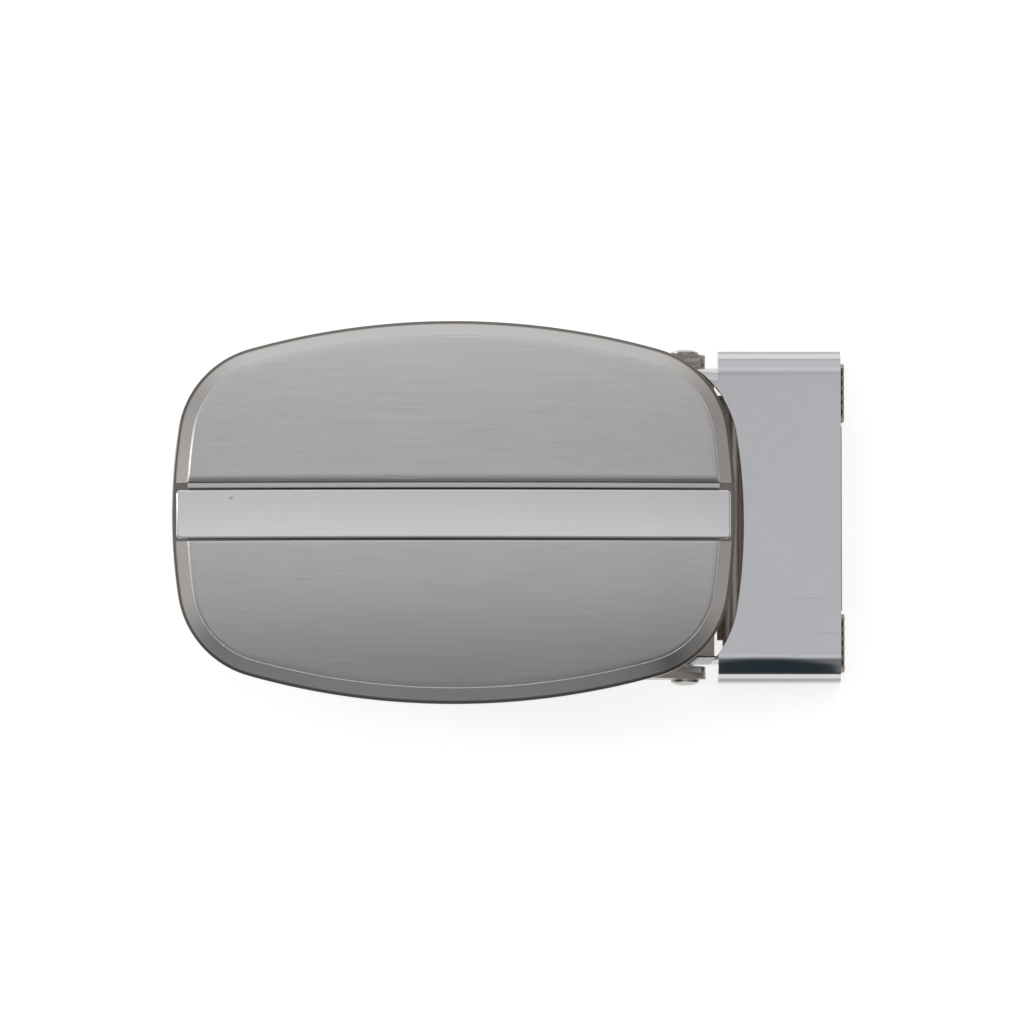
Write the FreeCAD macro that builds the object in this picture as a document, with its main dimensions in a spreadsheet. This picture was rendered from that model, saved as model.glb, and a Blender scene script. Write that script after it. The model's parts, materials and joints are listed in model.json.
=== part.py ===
import FreeCAD, Part
import math
import os
import Sketcher

# Automatic belt buckle for a 30 mm strap, lying on its back with the face up.
# +X runs from the face plate to the strap clip, +Y across the strap, +Z out of the face.
# The origin is under the middle of the whole buckle, on the surface that it rests on.

SIZES = {
    # face plate: barrel-shaped outline made of end, corner and side arcs
    "face_centre": -5.77,
    "face_half_length": 28.9,
    "face_half_width": 19.7,
    "end_arc": 57.7,
    "corner_arc": 10.06,
    "side_arc": 77.6,
    "face_underside": 10.6,
    "rim_edge_top": 11.5,
    "rim_inner_top": 12.1,
    "rim_width": 1.95,
    "panel_inset": 1.55,
    "crown_top": 14.6,
    "crown_along": 300,
    "crown_across": 75,
    "panel_roll": 0.3,
    # centre bar, let into a channel between the panels, close to its lower wall
    "bar_half_width": 2.5,
    "bar_shift": -0.3,
    "bar_gap": 0.5,
    "bar_end_margin": 0.5,
    "bar_top": 14.35,
    "bar_crown_across": 40,
    "bar_corner": 0.45,
    "bar_edge_break": 0.2,
    "bar_peg_radius": 0.8,
    "bar_peg_spacing": 30,
    # back frame: one bent sheet with a floor, two cheeks and flanges under the face
    "frame_left": -22,
    "frame_right": 13.4,
    "cheek_outer": 16.8,
    "cheek_inner": 15.5,
    "floor_gauge": 1.0,
    "flange_inner": 12.5,
    "flange_underside": 9.7,
    "frame_bend": 1.3,
    "frame_inside_bend": 0.4,
    "flange_end": 11.0,
    "flange_root": 0.6,
    "mouth_low": 6.5,
    "mouth_slope_x": 3.5,
    "mouth_slope_z": 5,
    "ear_radius": 2.15,
    "fixing_left": -14,
    "fixing_right": 6,
    "fixing_across": 14,
    "fixing_radius": 0.8,
    "fixing_head": 1.3,
    "fixing_head_height": 0.4,
    "fixing_depth": 2.6,
    # hinge rivets of the clip
    "pivot_x": 18.1,
    "pivot_z": 2.6,
    "rivet_radius": 0.9,
    "rivet_head_radius": 1.45,
    "rivet_head_height": 0.65,
    "rivet_dome": 0.5,
    "running_gap": 0.05,
    # strap roller at the mouth
    "roller_x": -19.2,
    "roller_z": 3.6,
    "roller_radius": 1.9,
    "roller_half_length": 15.2,
    "pin_radius": 0.9,
    # spreader bar between the cheeks
    "spreader_x": 9.5,
    "spreader_z": 4.2,
    "spreader_radius": 1.2,
    # pawl and its shaft
    "shaft_x": -9,
    "shaft_z": 3.4,
    "shaft_radius": 1.1,
    "hub_radius": 2.1,
    "hub_low_end": -14.9,
    "hub_high_end": 9.8,
    "web_half_width": 9.7,
    "web_reach": 2.7,
    "web_overlap": 0.3,
    "pawl_half_width": 11,
    "pawl_reach": 9.3,
    "pawl_gauge": 1.3,
    "pawl_angle": 36,
    "pawl_tooth_rise": 0.9,
    "pawl_tooth_slope": 1.6,
    "pawl_tooth_pitch": 1.7,
    "pawl_tooth_depth": 0.9,
    "pawl_tooth_land": 0.1,
    # torsion spring round the shaft
    "spring_radius": 1.7,
    "spring_wire": 0.28,
    "spring_pitch": 0.75,
    "spring_turns": 6,
    "spring_end_turn": 39.6,
    "spring_roll": 45.2,
    "spring_start": 10.3,
    "spring_leg": 4.6,
    # release lever on the shaft's end
    "lever_inner": 17.0,
    "lever_gauge": 0.9,
    "lever_hub": 2.2,
    "lever_reach": 11.5,
    "lever_angle": 27,
    "lever_half_height": 1.1,
    "lever_root_half_height": 1.65,
    "lever_pad_length": 4.2,
    "lever_pad_outer": 18.6,
    "lever_pad_gauge": 0.8,
    "screw_head_radius": 1.5,
    "screw_head_height": 0.6,
    "screw_radius": 0.6,
    "screw_depth": 2.6,
    "slot_width": 0.4,
    "slot_depth": 0.3,
    # clip cover: sleeve with a narrower neck
    "cover_left": 21.5,
    "cover_right": 34.15,
    "cover_half_width": 17.16,
    "cover_top": 6.4,
    "cover_gauge": 0.9,
    "cover_bend": 2.8,
    "neck_left": 15.5,
    "neck_right": 21.9,
    "neck_half_width": 15.34,
    "neck_bend": 1.8,
    "neck_floor_right": 21.2,
    "neck_low_bend": 1.1,
    "tab_top": 4.6,
    "tab_corner": 1.5,
    "arc_gap": 1.0,
    "arc_shift": -0.7,
    # clip jaw: flap with a rolled barrel hinge and two rows of teeth
    "jaw_pin_x": 22.6,
    "jaw_pin_z": 1.25,
    "jaw_pin_radius": 0.6,
    "barrel_radius": 1.15,
    "barrel_half_length": 12.7,
    "jaw_gauge": 0.85,
    "jaw_step": 24.2,
    "jaw_right": 34.67,
    "jaw_half_width": 16.0,
    "tab_half_width": 9.6,
    "tab_setback": 0.22,
    "tab_notch": 0.4,
    "notch_depth": 1.1,
    "lip_gauge": 0.92,
    "lip_top": 1.5,
    "tooth_top": 2.45,
    "tooth_root": 0.4,
}
TEETH_PER_ROW = 6
PAWL_NOTCHES = 13
# how far a cutting profile reaches past the metal that it cuts, in mm
CLEAR = 1
# how much of a turn a crown is cut through, in degrees
CROWN_TURN = 30

doc = FreeCAD.newDocument("buckle_slider")
sheet = doc.addObject("Spreadsheet::Sheet", "Sizes")
for row, (alias, number) in enumerate(SIZES.items(), start=1):
    sheet.set(f"A{row}", alias)
    sheet.set(f"B{row}", str(number))
    sheet.setAlias(f"B{row}", alias)
doc.recompute()


class Dim:
    """A length with its number and its formula over the sheet's cells."""

    def __init__(self, number, formula):
        self.number = number
        self.formula = formula

    def __add__(self, other):
        other = as_dim(other)
        return Dim(self.number + other.number, f"({self.formula} + {other.formula})")

    def __sub__(self, other):
        other = as_dim(other)
        return Dim(self.number - other.number, f"({self.formula} - {other.formula})")

    def __mul__(self, other):
        other = as_dim(other)
        return Dim(self.number * other.number, f"({self.formula} * {other.formula})")

    def __truediv__(self, other):
        other = as_dim(other)
        return Dim(self.number / other.number, f"({self.formula} / {other.formula})")

    def __neg__(self):
        return Dim(-self.number, f"(0 - {self.formula})")


def as_dim(value):
    """A plain number becomes a constant formula."""
    if isinstance(value, Dim):
        return value
    return Dim(value, repr(float(value)))


def size(alias):
    """One driving dimension."""
    return Dim(SIZES[alias], f"Sizes.{alias}")


def cosine(alias):
    return Dim(math.cos(math.radians(SIZES[alias])), f"cos(Sizes.{alias})")


def sine(alias):
    return Dim(math.sin(math.radians(SIZES[alias])), f"sin(Sizes.{alias})")


def bind(thing, prop, value):
    """Sets a property and ties it to the sheet."""
    thing.setExpression(prop, as_dim(value).formula)


def new_body(name):
    body = doc.addObject("PartDesign::Body", name)
    body.Label = name
    return body


def new_sketch(body, name, role="XY_Plane", offset=0):
    """A sketch on one of the body's own origin planes, moved along the plane's normal."""
    plane = [item for item in body.Origin.OriginFeatures if item.Role == role][0]
    sketch = body.newObject("Sketcher::SketchObject", name)
    sketch.AttachmentSupport = (plane, [""])
    sketch.MapMode = "FlatFace"
    bind(sketch, "AttachmentOffset.Base.z", offset)
    return sketch


def fix(sketch, kind, geometry, point, value):
    """Ties one coordinate of a sketch point to a formula."""
    value = as_dim(value)
    index = sketch.addConstraint(Sketcher.Constraint(kind, -1, 1, geometry, point, value.number))
    sketch.setExpression(f"Constraints[{index}]", value.formula)


def fix_point(sketch, geometry, point, across, up):
    fix(sketch, "DistanceX", geometry, point, across)
    fix(sketch, "DistanceY", geometry, point, up)


def fix_radius(sketch, geometry, radius):
    radius = as_dim(radius)
    index = sketch.addConstraint(Sketcher.Constraint("Radius", geometry, radius.number))
    sketch.setExpression(f"Constraints[{index}]", radius.formula)


def vector(point):
    return FreeCAD.Vector(as_dim(point[0]).number, as_dim(point[1]).number, 0)


def arc_between(start, end, radius, turn):
    """The short arc from start to end; turn is +1 for counterclockwise and -1 for clockwise."""
    chord = end - start
    middle = (start + end) * 0.5
    rise = math.sqrt(max(radius**2 - (chord.Length / 2) ** 2, 0))
    side = FreeCAD.Vector(-chord.y, chord.x, 0).normalize() * turn
    centre = middle + side * rise
    bulge = middle + side * (rise - radius)
    if rise < radius * 1e-6:
        bulge = middle - side * radius
    return Part.Arc(start, bulge, end)


def draw(sketch, path):
    """A closed outline. Each step is (x, y), reached by a line, or (x, y, radius, turn), by an arc."""
    first = sketch.GeometryCount
    count = len(path)
    for step in range(count):
        start = vector(path[step - 1])
        goal = path[step]
        if len(goal) == 2:
            sketch.addGeometry(Part.LineSegment(start, vector(goal)), False)
        else:
            radius = as_dim(goal[2])
            sketch.addGeometry(arc_between(start, vector(goal), radius.number, goal[3]), False)
    clockwise = [len(goal) == 4 and goal[3] < 0 for goal in path]
    for step in range(count):
        # an arc is stored counterclockwise, so a clockwise one ends at its start point
        end_point = 1 if clockwise[step] else 2
        following = (step + 1) % count
        start_point = 2 if clockwise[following] else 1
        ends = (first + step, end_point, first + following, start_point)
        sketch.addConstraint(Sketcher.Constraint("Coincident", *ends))
        fix_point(sketch, first + step, end_point, path[step][0], path[step][1])
        if len(path[step]) == 4:
            fix_radius(sketch, first + step, path[step][2])


def draw_circle(sketch, across, up, radius):
    centre = vector((across, up))
    circle = Part.Circle(centre, FreeCAD.Vector(0, 0, 1), as_dim(radius).number)
    index = sketch.addGeometry(circle, False)
    fix_point(sketch, index, 3, across, up)
    fix_radius(sketch, index, radius)


def draw_rectangle(sketch, left, right, low, high):
    draw(sketch, [(left, low), (right, low), (right, high), (left, high)])


def draw_barrel(sketch, grow, shift):
    """The face's outline of eight tangent arcs, grown outwards by grow and moved by shift across."""
    centre = size("face_centre")
    half_length = size("face_half_length") + grow
    half_width = size("face_half_width") + grow
    end = size("end_arc") + grow
    corner = size("corner_arc") + grow
    side = size("side_arc") + grow
    end_x = (half_length - end).number
    side_y = (half_width - side).number
    # the corner arc's centre lies where it can touch both the end arc and the side arc
    to_end = (end - corner).number
    to_side = (side - corner).number
    span = math.hypot(end_x, side_y)
    along = (to_end**2 - to_side**2 + span**2) / (2 * span)
    off = math.sqrt(to_end**2 - along**2)
    ux = -end_x / span
    uy = side_y / span
    corner_x = end_x + along * ux - off * uy
    corner_y = along * uy + off * ux
    end_turn = math.atan2(corner_y, corner_x - end_x)
    side_turn = math.atan2(corner_y - side_y, corner_x)
    half = math.pi
    middle_x = centre.number
    middle_y = as_dim(shift).number
    arcs = [
        (end_x, 0, end, -end_turn, end_turn),
        (corner_x, corner_y, corner, end_turn, side_turn),
        (0, side_y, side, side_turn, half - side_turn),
        (-corner_x, corner_y, corner, half - side_turn, half - end_turn),
        (-end_x, 0, end, half - end_turn, half + end_turn),
        (-corner_x, -corner_y, corner, half + end_turn, half + side_turn),
        (0, -side_y, side, half + side_turn, 2 * half - side_turn),
        (corner_x, -corner_y, corner, 2 * half - side_turn, 2 * half - end_turn),
    ]
    for x, y, radius, start, stop in arcs:
        place = FreeCAD.Vector(x + middle_x, y + middle_y, 0)
        circle = Part.Circle(place, FreeCAD.Vector(0, 0, 1), radius.number)
        sketch.addGeometry(Part.ArcOfCircle(circle, start, stop), False)
    for index in range(8):
        sketch.addConstraint(Sketcher.Constraint("Tangent", index, 2, (index + 1) % 8, 1))
        fix_radius(sketch, index, arcs[index][2])
    fix_point(sketch, 0, 3, centre + half_length - end, shift)
    fix_point(sketch, 4, 3, centre - half_length + end, shift)
    fix_point(sketch, 2, 3, centre, half_width - side + shift)
    fix_point(sketch, 6, 3, centre, side - half_width + shift)


def finish(feature, length, both_ways, backwards):
    """The settings that pads and pockets share; a length of None cuts through everything."""
    feature.Reversed = backwards
    feature.SideType = "Symmetric" if both_ways else "One side"
    if length is None:
        feature.Type = "ThroughAll"
    else:
        bind(feature, "Length", length)
    doc.recompute()


def pad(body, profile, length, both_ways=False, backwards=False):
    feature = body.newObject("PartDesign::Pad", f"{profile.Name}_pad")
    feature.Profile = profile
    finish(feature, length, both_ways, backwards)
    return feature


def pocket(body, profile, length=None, both_ways=False, backwards=False):
    before = body.Shape.Volume
    feature = body.newObject("PartDesign::Pocket", f"{profile.Name}_pocket")
    feature.Profile = profile
    finish(feature, length, both_ways, backwards)
    if body.Shape.Volume > before - 1e-6:
        raise RuntimeError(f"{feature.Name} cuts nothing")
    return feature


def cross_hole(body, name, x, z, radius):
    """A round hole along Y, right through the body."""
    profile = new_sketch(body, name, "XZ_Plane")
    draw_circle(profile, x, z, radius)
    return pocket(body, profile, both_ways=True)


def cut_crown(body, name, top, along, across):
    """Cuts the body down to a barrel surface, curved by along in XZ and by across in YZ."""
    profile = new_sketch(body, name, "XZ_Plane")
    middle = size("face_centre")
    reach = size("face_half_length") + 2 * CLEAR
    drop = reach.number**2 / (2 * as_dim(along).number)
    low = as_dim(top) - Dim(drop, f"({reach.formula})^2 / (2 * {as_dim(along).formula})")
    high = as_dim(top) + 5 * CLEAR
    left = middle - reach
    right = middle + reach
    draw(profile, [(left, low, along, 1), (left, high), (right, high), (right, low)])
    axis_z = as_dim(top) - across
    start = (left, axis_z)
    stop = (right, axis_z)
    line = profile.addGeometry(Part.LineSegment(vector(start), vector(stop)), True)
    fix_point(profile, line, 1, *start)
    fix_point(profile, line, 2, *stop)
    before = body.Shape.Volume
    groove = body.newObject("PartDesign::Groove", f"{name}_groove")
    groove.Profile = profile
    groove.ReferenceAxis = (profile, ["Axis0"])
    groove.Midplane = True
    groove.Angle = CROWN_TURN
    doc.recompute()
    if body.Shape.Volume > before - 1e-6:
        raise RuntimeError(f"{groove.Name} cuts nothing")
    return groove


def edges_where(feature, test):
    """Names of the feature's edges whose middle point and direction pass a test."""
    names = []
    for number, edge in enumerate(feature.Shape.Edges, start=1):
        if test(edge.BoundBox):
            names.append(f"Edge{number}")
    return names


def round_edges(body, name, names, radius):
    """Rounds the named edges, or every edge of the named faces, of the body so far."""
    base = body.Tip
    feature = body.newObject("PartDesign::Fillet", name)
    feature.Base = (base, names)
    bind(feature, "Radius", radius)
    doc.recompute()
    return feature


def face_plate():
    """Cast face: bevelled rim, two pillowed panels and the channel for the centre bar."""
    body = new_body("face_plate")
    rim = new_sketch(body, "rim_outline", offset=size("face_underside"))
    draw_barrel(rim, 0, 0)
    base = pad(body, rim, size("rim_inner_top") - size("face_underside"))
    rim_top = SIZES["rim_inner_top"] - 0.01
    top = [f"Face{n}" for n, face in enumerate(base.Shape.Faces, 1) if face.BoundBox.ZMin > rim_top]
    bevel = body.newObject("PartDesign::Chamfer", "rim_bevel")
    bevel.Base = (base, top)
    bevel.ChamferType = "Two distances"
    bind(bevel, "Size", size("rim_inner_top") - size("rim_edge_top"))
    bind(bevel, "Size2", size("rim_width"))
    doc.recompute()

    panel = new_sketch(body, "panel_outline", offset=size("rim_edge_top"))
    draw_barrel(panel, -size("panel_inset"), 0)
    pad(body, panel, size("crown_top") - size("rim_edge_top") + CLEAR)
    cut_crown(body, "panel_crown", size("crown_top"), size("crown_along"), size("crown_across"))

    channel = new_sketch(body, "bar_channel", "YZ_Plane")
    half = size("bar_half_width") + size("bar_gap")
    draw_rectangle(channel, -half, half, size("rim_edge_top"), size("crown_top") + CLEAR)
    cut = pocket(body, channel, both_ways=True)
    crown = [
        f"Face{n}"
        for n, face in enumerate(cut.Shape.Faces, 1)
        if face.BoundBox.ZMax > SIZES["crown_top"] - 1
        and face.BoundBox.XLength > SIZES["face_half_length"]
        and face.BoundBox.YLength > SIZES["face_half_width"] / 2
    ]
    round_edges(body, "panel_roll_off", crown, size("panel_roll"))

    sockets = new_sketch(body, "fixing_sockets", offset=size("face_underside"))
    for x in (size("fixing_left"), size("fixing_right")):
        for y in (-size("fixing_across"), size("fixing_across")):
            draw_circle(sockets, x, y, size("fixing_radius"))
    flange_gauge = size("face_underside") - size("flange_underside")
    pocket(body, sockets, size("fixing_depth") - flange_gauge, backwards=True)

    pegs = new_sketch(body, "peg_holes", offset=size("face_underside"))
    for side in (-0.5, 0.5):
        x = size("face_centre") + size("bar_peg_spacing") * side
        draw_circle(pegs, x, size("bar_shift"), size("bar_peg_radius"))
    pocket(body, pegs, size("rim_edge_top") - size("face_underside") + CLEAR, backwards=True)
    return body


def centre_bar():
    """Polished strip between the panels, held by two pegs through the face."""
    body = new_body("centre_bar")
    outline = new_sketch(body, "bar_outline", offset=size("rim_edge_top"))
    middle = size("face_centre")
    reach = size("face_half_length") - size("bar_end_margin")
    half = size("bar_half_width")
    shift = size("bar_shift")
    draw_rectangle(outline, middle - reach, middle + reach, shift - half, shift + half)
    pad(body, outline, size("bar_top") - size("rim_edge_top") + CLEAR)
    ends = edges_where(body.Tip, lambda box: box.ZLength > CLEAR)
    round_edges(body, "bar_corners", ends, size("bar_corner"))
    cut_crown(body, "bar_crown", size("bar_top"), size("crown_along"), size("bar_crown_across"))
    upper = [
        f"Face{n}"
        for n, face in enumerate(body.Tip.Shape.Faces, 1)
        if face.BoundBox.XLength > SIZES["face_half_length"]
        and face.BoundBox.YLength > SIZES["bar_half_width"]
        and face.BoundBox.ZMin > SIZES["rim_edge_top"] + CLEAR
    ]
    round_edges(body, "bar_edge_rounds", upper, size("bar_edge_break"))
    pegs = new_sketch(body, "bar_pegs", offset=size("rim_edge_top"))
    for side in (-0.5, 0.5):
        draw_circle(pegs, middle + size("bar_peg_spacing") * side, shift, size("bar_peg_radius"))
    pad(body, pegs, size("rim_edge_top") - size("face_underside"), backwards=True)
    return body


def frame_section(sketch):
    """The bent sheet seen along X: floor, cheeks and the flanges that turn in under the face."""
    outer = size("cheek_outer")
    inner = size("cheek_inner")
    top = size("face_underside")
    bend = size("frame_bend")
    inside = size("frame_inside_bend")
    floor = size("floor_gauge")
    under = size("flange_underside")
    flange = size("flange_inner")
    right = [
        (outer - bend, 0),
        (outer, bend, bend, 1),
        (outer, top - bend),
        (outer - bend, top, bend, 1),
        (flange, top),
        (flange, under),
        (inner - inside, under),
        (inner, under - inside, inside, -1),
        (inner, floor + inside),
        (inner - inside, floor, inside, -1),
    ]
    left = []
    for index in range(len(right) - 1, -1, -1):
        y, z = right[index][:2]
        # a mirrored step is reached from the other end, so it takes the following step's arc
        arc = right[index + 1][2:] if index + 1 < len(right) else ()
        left.append((-y, z) + tuple(arc))
    draw(sketch, right + left)


def back_frame():
    """Floor, cheeks and flanges, with the ears for the clip at the cheeks' right-hand ends."""
    body = new_body("back_frame")
    section = new_sketch(body, "frame_section", "YZ_Plane", size("frame_left"))
    frame_section(section)
    far = size("pivot_x") + size("ear_radius") + CLEAR
    pad(body, section, far - size("frame_left"))

    side = new_sketch(body, "cheek_profile", "XZ_Plane")
    ear_x = size("pivot_x")
    ear_z = size("pivot_z")
    radius = size("ear_radius")
    slant = Dim(math.sqrt(0.5), "sqrt(0.5)")
    step_x = size("frame_right") - CLEAR
    above = size("face_underside") + CLEAR
    draw(
        side,
        [
            (step_x, -CLEAR),
            (far + CLEAR, -CLEAR),
            (far + CLEAR, above),
            (size("flange_end"), above),
            (size("flange_end"), size("flange_underside") - size("flange_root")),
            (ear_x + radius * slant, ear_z + radius * slant),
            (ear_x, ear_z - radius, radius, -1),
            (step_x, ear_z - radius),
        ],
    )
    pocket(body, side, both_ways=True)

    floor = new_sketch(body, "floor_end", offset=-CLEAR)
    inner = size("cheek_inner")
    draw_rectangle(floor, step_x, far, -inner, inner)
    pocket(body, floor, size("floor_gauge") + size("frame_inside_bend") + CLEAR, backwards=True)

    mouth = new_sketch(body, "mouth_corner", "XZ_Plane")
    left = size("frame_left")
    low = size("mouth_low")
    high = low + size("mouth_slope_z")
    slope_end = left + size("mouth_slope_x")
    draw(mouth, [(left - CLEAR, low), (left, low), (slope_end, high), (left - CLEAR, high)])
    pocket(body, mouth, both_ways=True)

    cross_hole(body, "roller_pin_hole", size("roller_x"), size("roller_z"), size("pin_radius"))
    shaft_hole = size("shaft_radius") + size("running_gap")
    cross_hole(body, "shaft_hole", size("shaft_x"), size("shaft_z"), shaft_hole)
    cross_hole(body, "spreader_hole", size("spreader_x"), size("spreader_z"), size("pin_radius"))
    cross_hole(body, "rivet_hole", size("pivot_x"), size("pivot_z"), size("rivet_radius"))

    below = size("flange_underside") - size("frame_inside_bend")
    fixings = new_sketch(body, "fixing_holes", offset=below)
    for x in (size("fixing_left"), size("fixing_right")):
        for y in (-size("fixing_across"), size("fixing_across")):
            draw_circle(fixings, x, y, size("fixing_radius"))
    pocket(body, fixings, size("fixing_depth"), backwards=True)
    sinks = new_sketch(body, "fixing_recesses", offset=below)
    for x in (size("fixing_left"), size("fixing_right")):
        for y in (-size("fixing_across"), size("fixing_across")):
            draw_circle(sinks, x, y, size("fixing_head"))
    pocket(body, sinks, size("frame_inside_bend") + size("fixing_head_height"), backwards=True)
    return body


def frame_rivets():
    """Four flush rivets from the flanges up into the face plate."""
    rivets = []
    for x in ("fixing_left", "fixing_right"):
        for side in (-1, 1):
            tag = f"{x}_{'low' if side < 0 else 'high'}"
            shank = doc.addObject("Part::Cylinder", f"shank_{tag}")
            head = doc.addObject("Part::Cylinder", f"head_{tag}")
            bind(shank, "Radius", size("fixing_radius"))
            bind(shank, "Height", size("fixing_depth"))
            bind(head, "Radius", size("fixing_head"))
            bind(head, "Height", size("fixing_head_height"))
            for piece in (shank, head):
                bind(piece, "Placement.Base.x", size(x))
                bind(piece, "Placement.Base.y", size("fixing_across") * side)
                bind(piece, "Placement.Base.z", size("flange_underside"))
            rivet = doc.addObject("Part::Fuse", f"rivet_{tag}")
            rivet.Base = shank
            rivet.Tool = head
            rivets.append(rivet)
    group = doc.addObject("Part::Compound", "frame_rivets")
    group.Links = rivets
    group.Label = "frame_rivets"
    doc.recompute()
    return group


def clip_rivet(name, side):
    """Domed rivet through one ear and the neck's wall behind it."""
    body = new_body(name)
    inner = size("neck_half_width") - size("cover_gauge")
    shank = new_sketch(body, f"{name}_shank", "XZ_Plane", inner * -side)
    draw_circle(shank, size("pivot_x"), size("pivot_z"), size("rivet_radius"))
    pad(body, shank, size("cheek_outer") - inner, backwards=side > 0)
    head = new_sketch(body, f"{name}_head", "XZ_Plane", size("cheek_outer") * -side)
    draw_circle(head, size("pivot_x"), size("pivot_z"), size("rivet_head_radius"))
    pad(body, head, size("rivet_head_height"), backwards=side > 0)
    tip = side * (size("cheek_outer") + size("rivet_head_height")).number
    crown = edges_where(
        body.Tip, lambda box: abs(box.YMin - tip) < 0.01 and abs(box.YMax - tip) < 0.01
    )
    round_edges(body, f"{name}_dome", crown, size("rivet_dome"))
    return body


def turned_pin(name, x, z, middle_radius, end_radius, shoulder, half_length):
    """A bar along Y with a thicker middle between its shoulders."""
    body = new_body(name)
    core = new_sketch(body, f"{name}_core", "XZ_Plane")
    draw_circle(core, x, z, end_radius)
    pad(body, core, half_length * 2, both_ways=True)
    if middle_radius is not None:
        middle = new_sketch(body, f"{name}_middle", "XZ_Plane")
        draw_circle(middle, x, z, middle_radius)
        pad(body, middle, shoulder * 2, both_ways=True)
    return body


def strap_roller():
    """Loose sleeve that turns on the roller pin."""
    body = new_body("strap_roller")
    outside = new_sketch(body, "roller_outside", "XZ_Plane")
    draw_circle(outside, size("roller_x"), size("roller_z"), size("roller_radius"))
    draw_circle(outside, size("roller_x"), size("roller_z"), size("pin_radius") + size("running_gap"))
    pad(body, outside, size("roller_half_length") * 2, both_ways=True)
    return body


def along_arm(angle, reach, rise):
    """A point on an arm from the shaft: reach along the arm, rise square to it."""
    x = size("shaft_x") + as_dim(reach) * cosine(angle) - as_dim(rise) * sine(angle)
    z = size("shaft_z") + as_dim(reach) * sine(angle) + as_dim(rise) * cosine(angle)
    return (x, z)


def pawl():
    """Toothed plate on a hub; the teeth point up at the strap."""
    body = new_body("pawl")
    hub = new_sketch(body, "pawl_hub", "XZ_Plane", -size("hub_high_end"))
    draw_circle(hub, size("shaft_x"), size("shaft_z"), size("hub_radius"))
    pad(body, hub, size("hub_high_end") - size("hub_low_end"))

    half = size("pawl_gauge") / 2
    reach = size("pawl_reach")
    web_reach = size("web_reach")
    web = new_sketch(body, "pawl_web", "XZ_Plane")
    web_end = web_reach + size("web_overlap")
    corners = [(0, -half), (web_end, -half), (web_end, half), (0, half)]
    draw(web, [along_arm("pawl_angle", along, rise) for along, rise in corners])
    pad(body, web, size("web_half_width") * 2, both_ways=True)
    plate = new_sketch(body, "pawl_plate", "XZ_Plane")
    corners = [
        (web_reach, -half),
        (reach, -half),
        (reach, half + size("pawl_tooth_rise")),
        (reach - size("pawl_tooth_slope"), half),
        (web_reach, half),
    ]
    draw(plate, [along_arm("pawl_angle", along, rise) for along, rise in corners])
    pad(body, plate, size("pawl_half_width") * 2, both_ways=True)

    notches = new_sketch(body, "pawl_notches")
    pitch = size("pawl_tooth_pitch")
    tip_x, _ = along_arm("pawl_angle", reach, -half)
    outside = tip_x + 2 * CLEAR
    land = tip_x + size("pawl_tooth_land")
    low = pitch * (-PAWL_NOTCHES / 2)
    path = [(outside, low), (outside, low + pitch * PAWL_NOTCHES)]
    for number in range(PAWL_NOTCHES, 0, -1):
        path.append((land, low + pitch * number))
        path.append((tip_x - size("pawl_tooth_depth"), low + pitch * (number - 0.5)))
    path.append((land, low))
    draw(notches, path)
    pocket(body, notches, both_ways=True)
    cross_hole(body, "pawl_bore", size("shaft_x"), size("shaft_z"), size("shaft_radius"))
    return body


def pawl_shaft():
    """Shaft from one cheek to the other and on through the release lever."""
    body = new_body("pawl_shaft")
    high = size("cheek_outer")
    low = size("lever_inner") + size("lever_gauge")
    core = new_sketch(body, "shaft_core", "XZ_Plane", -high)
    draw_circle(core, size("shaft_x"), size("shaft_z"), size("shaft_radius"))
    pad(body, core, high + low)
    hole = new_sketch(body, "shaft_thread", "XZ_Plane", low)
    draw_circle(hole, size("shaft_x"), size("shaft_z"), size("screw_radius"))
    pocket(body, hole, size("screw_depth"))
    return body


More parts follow.
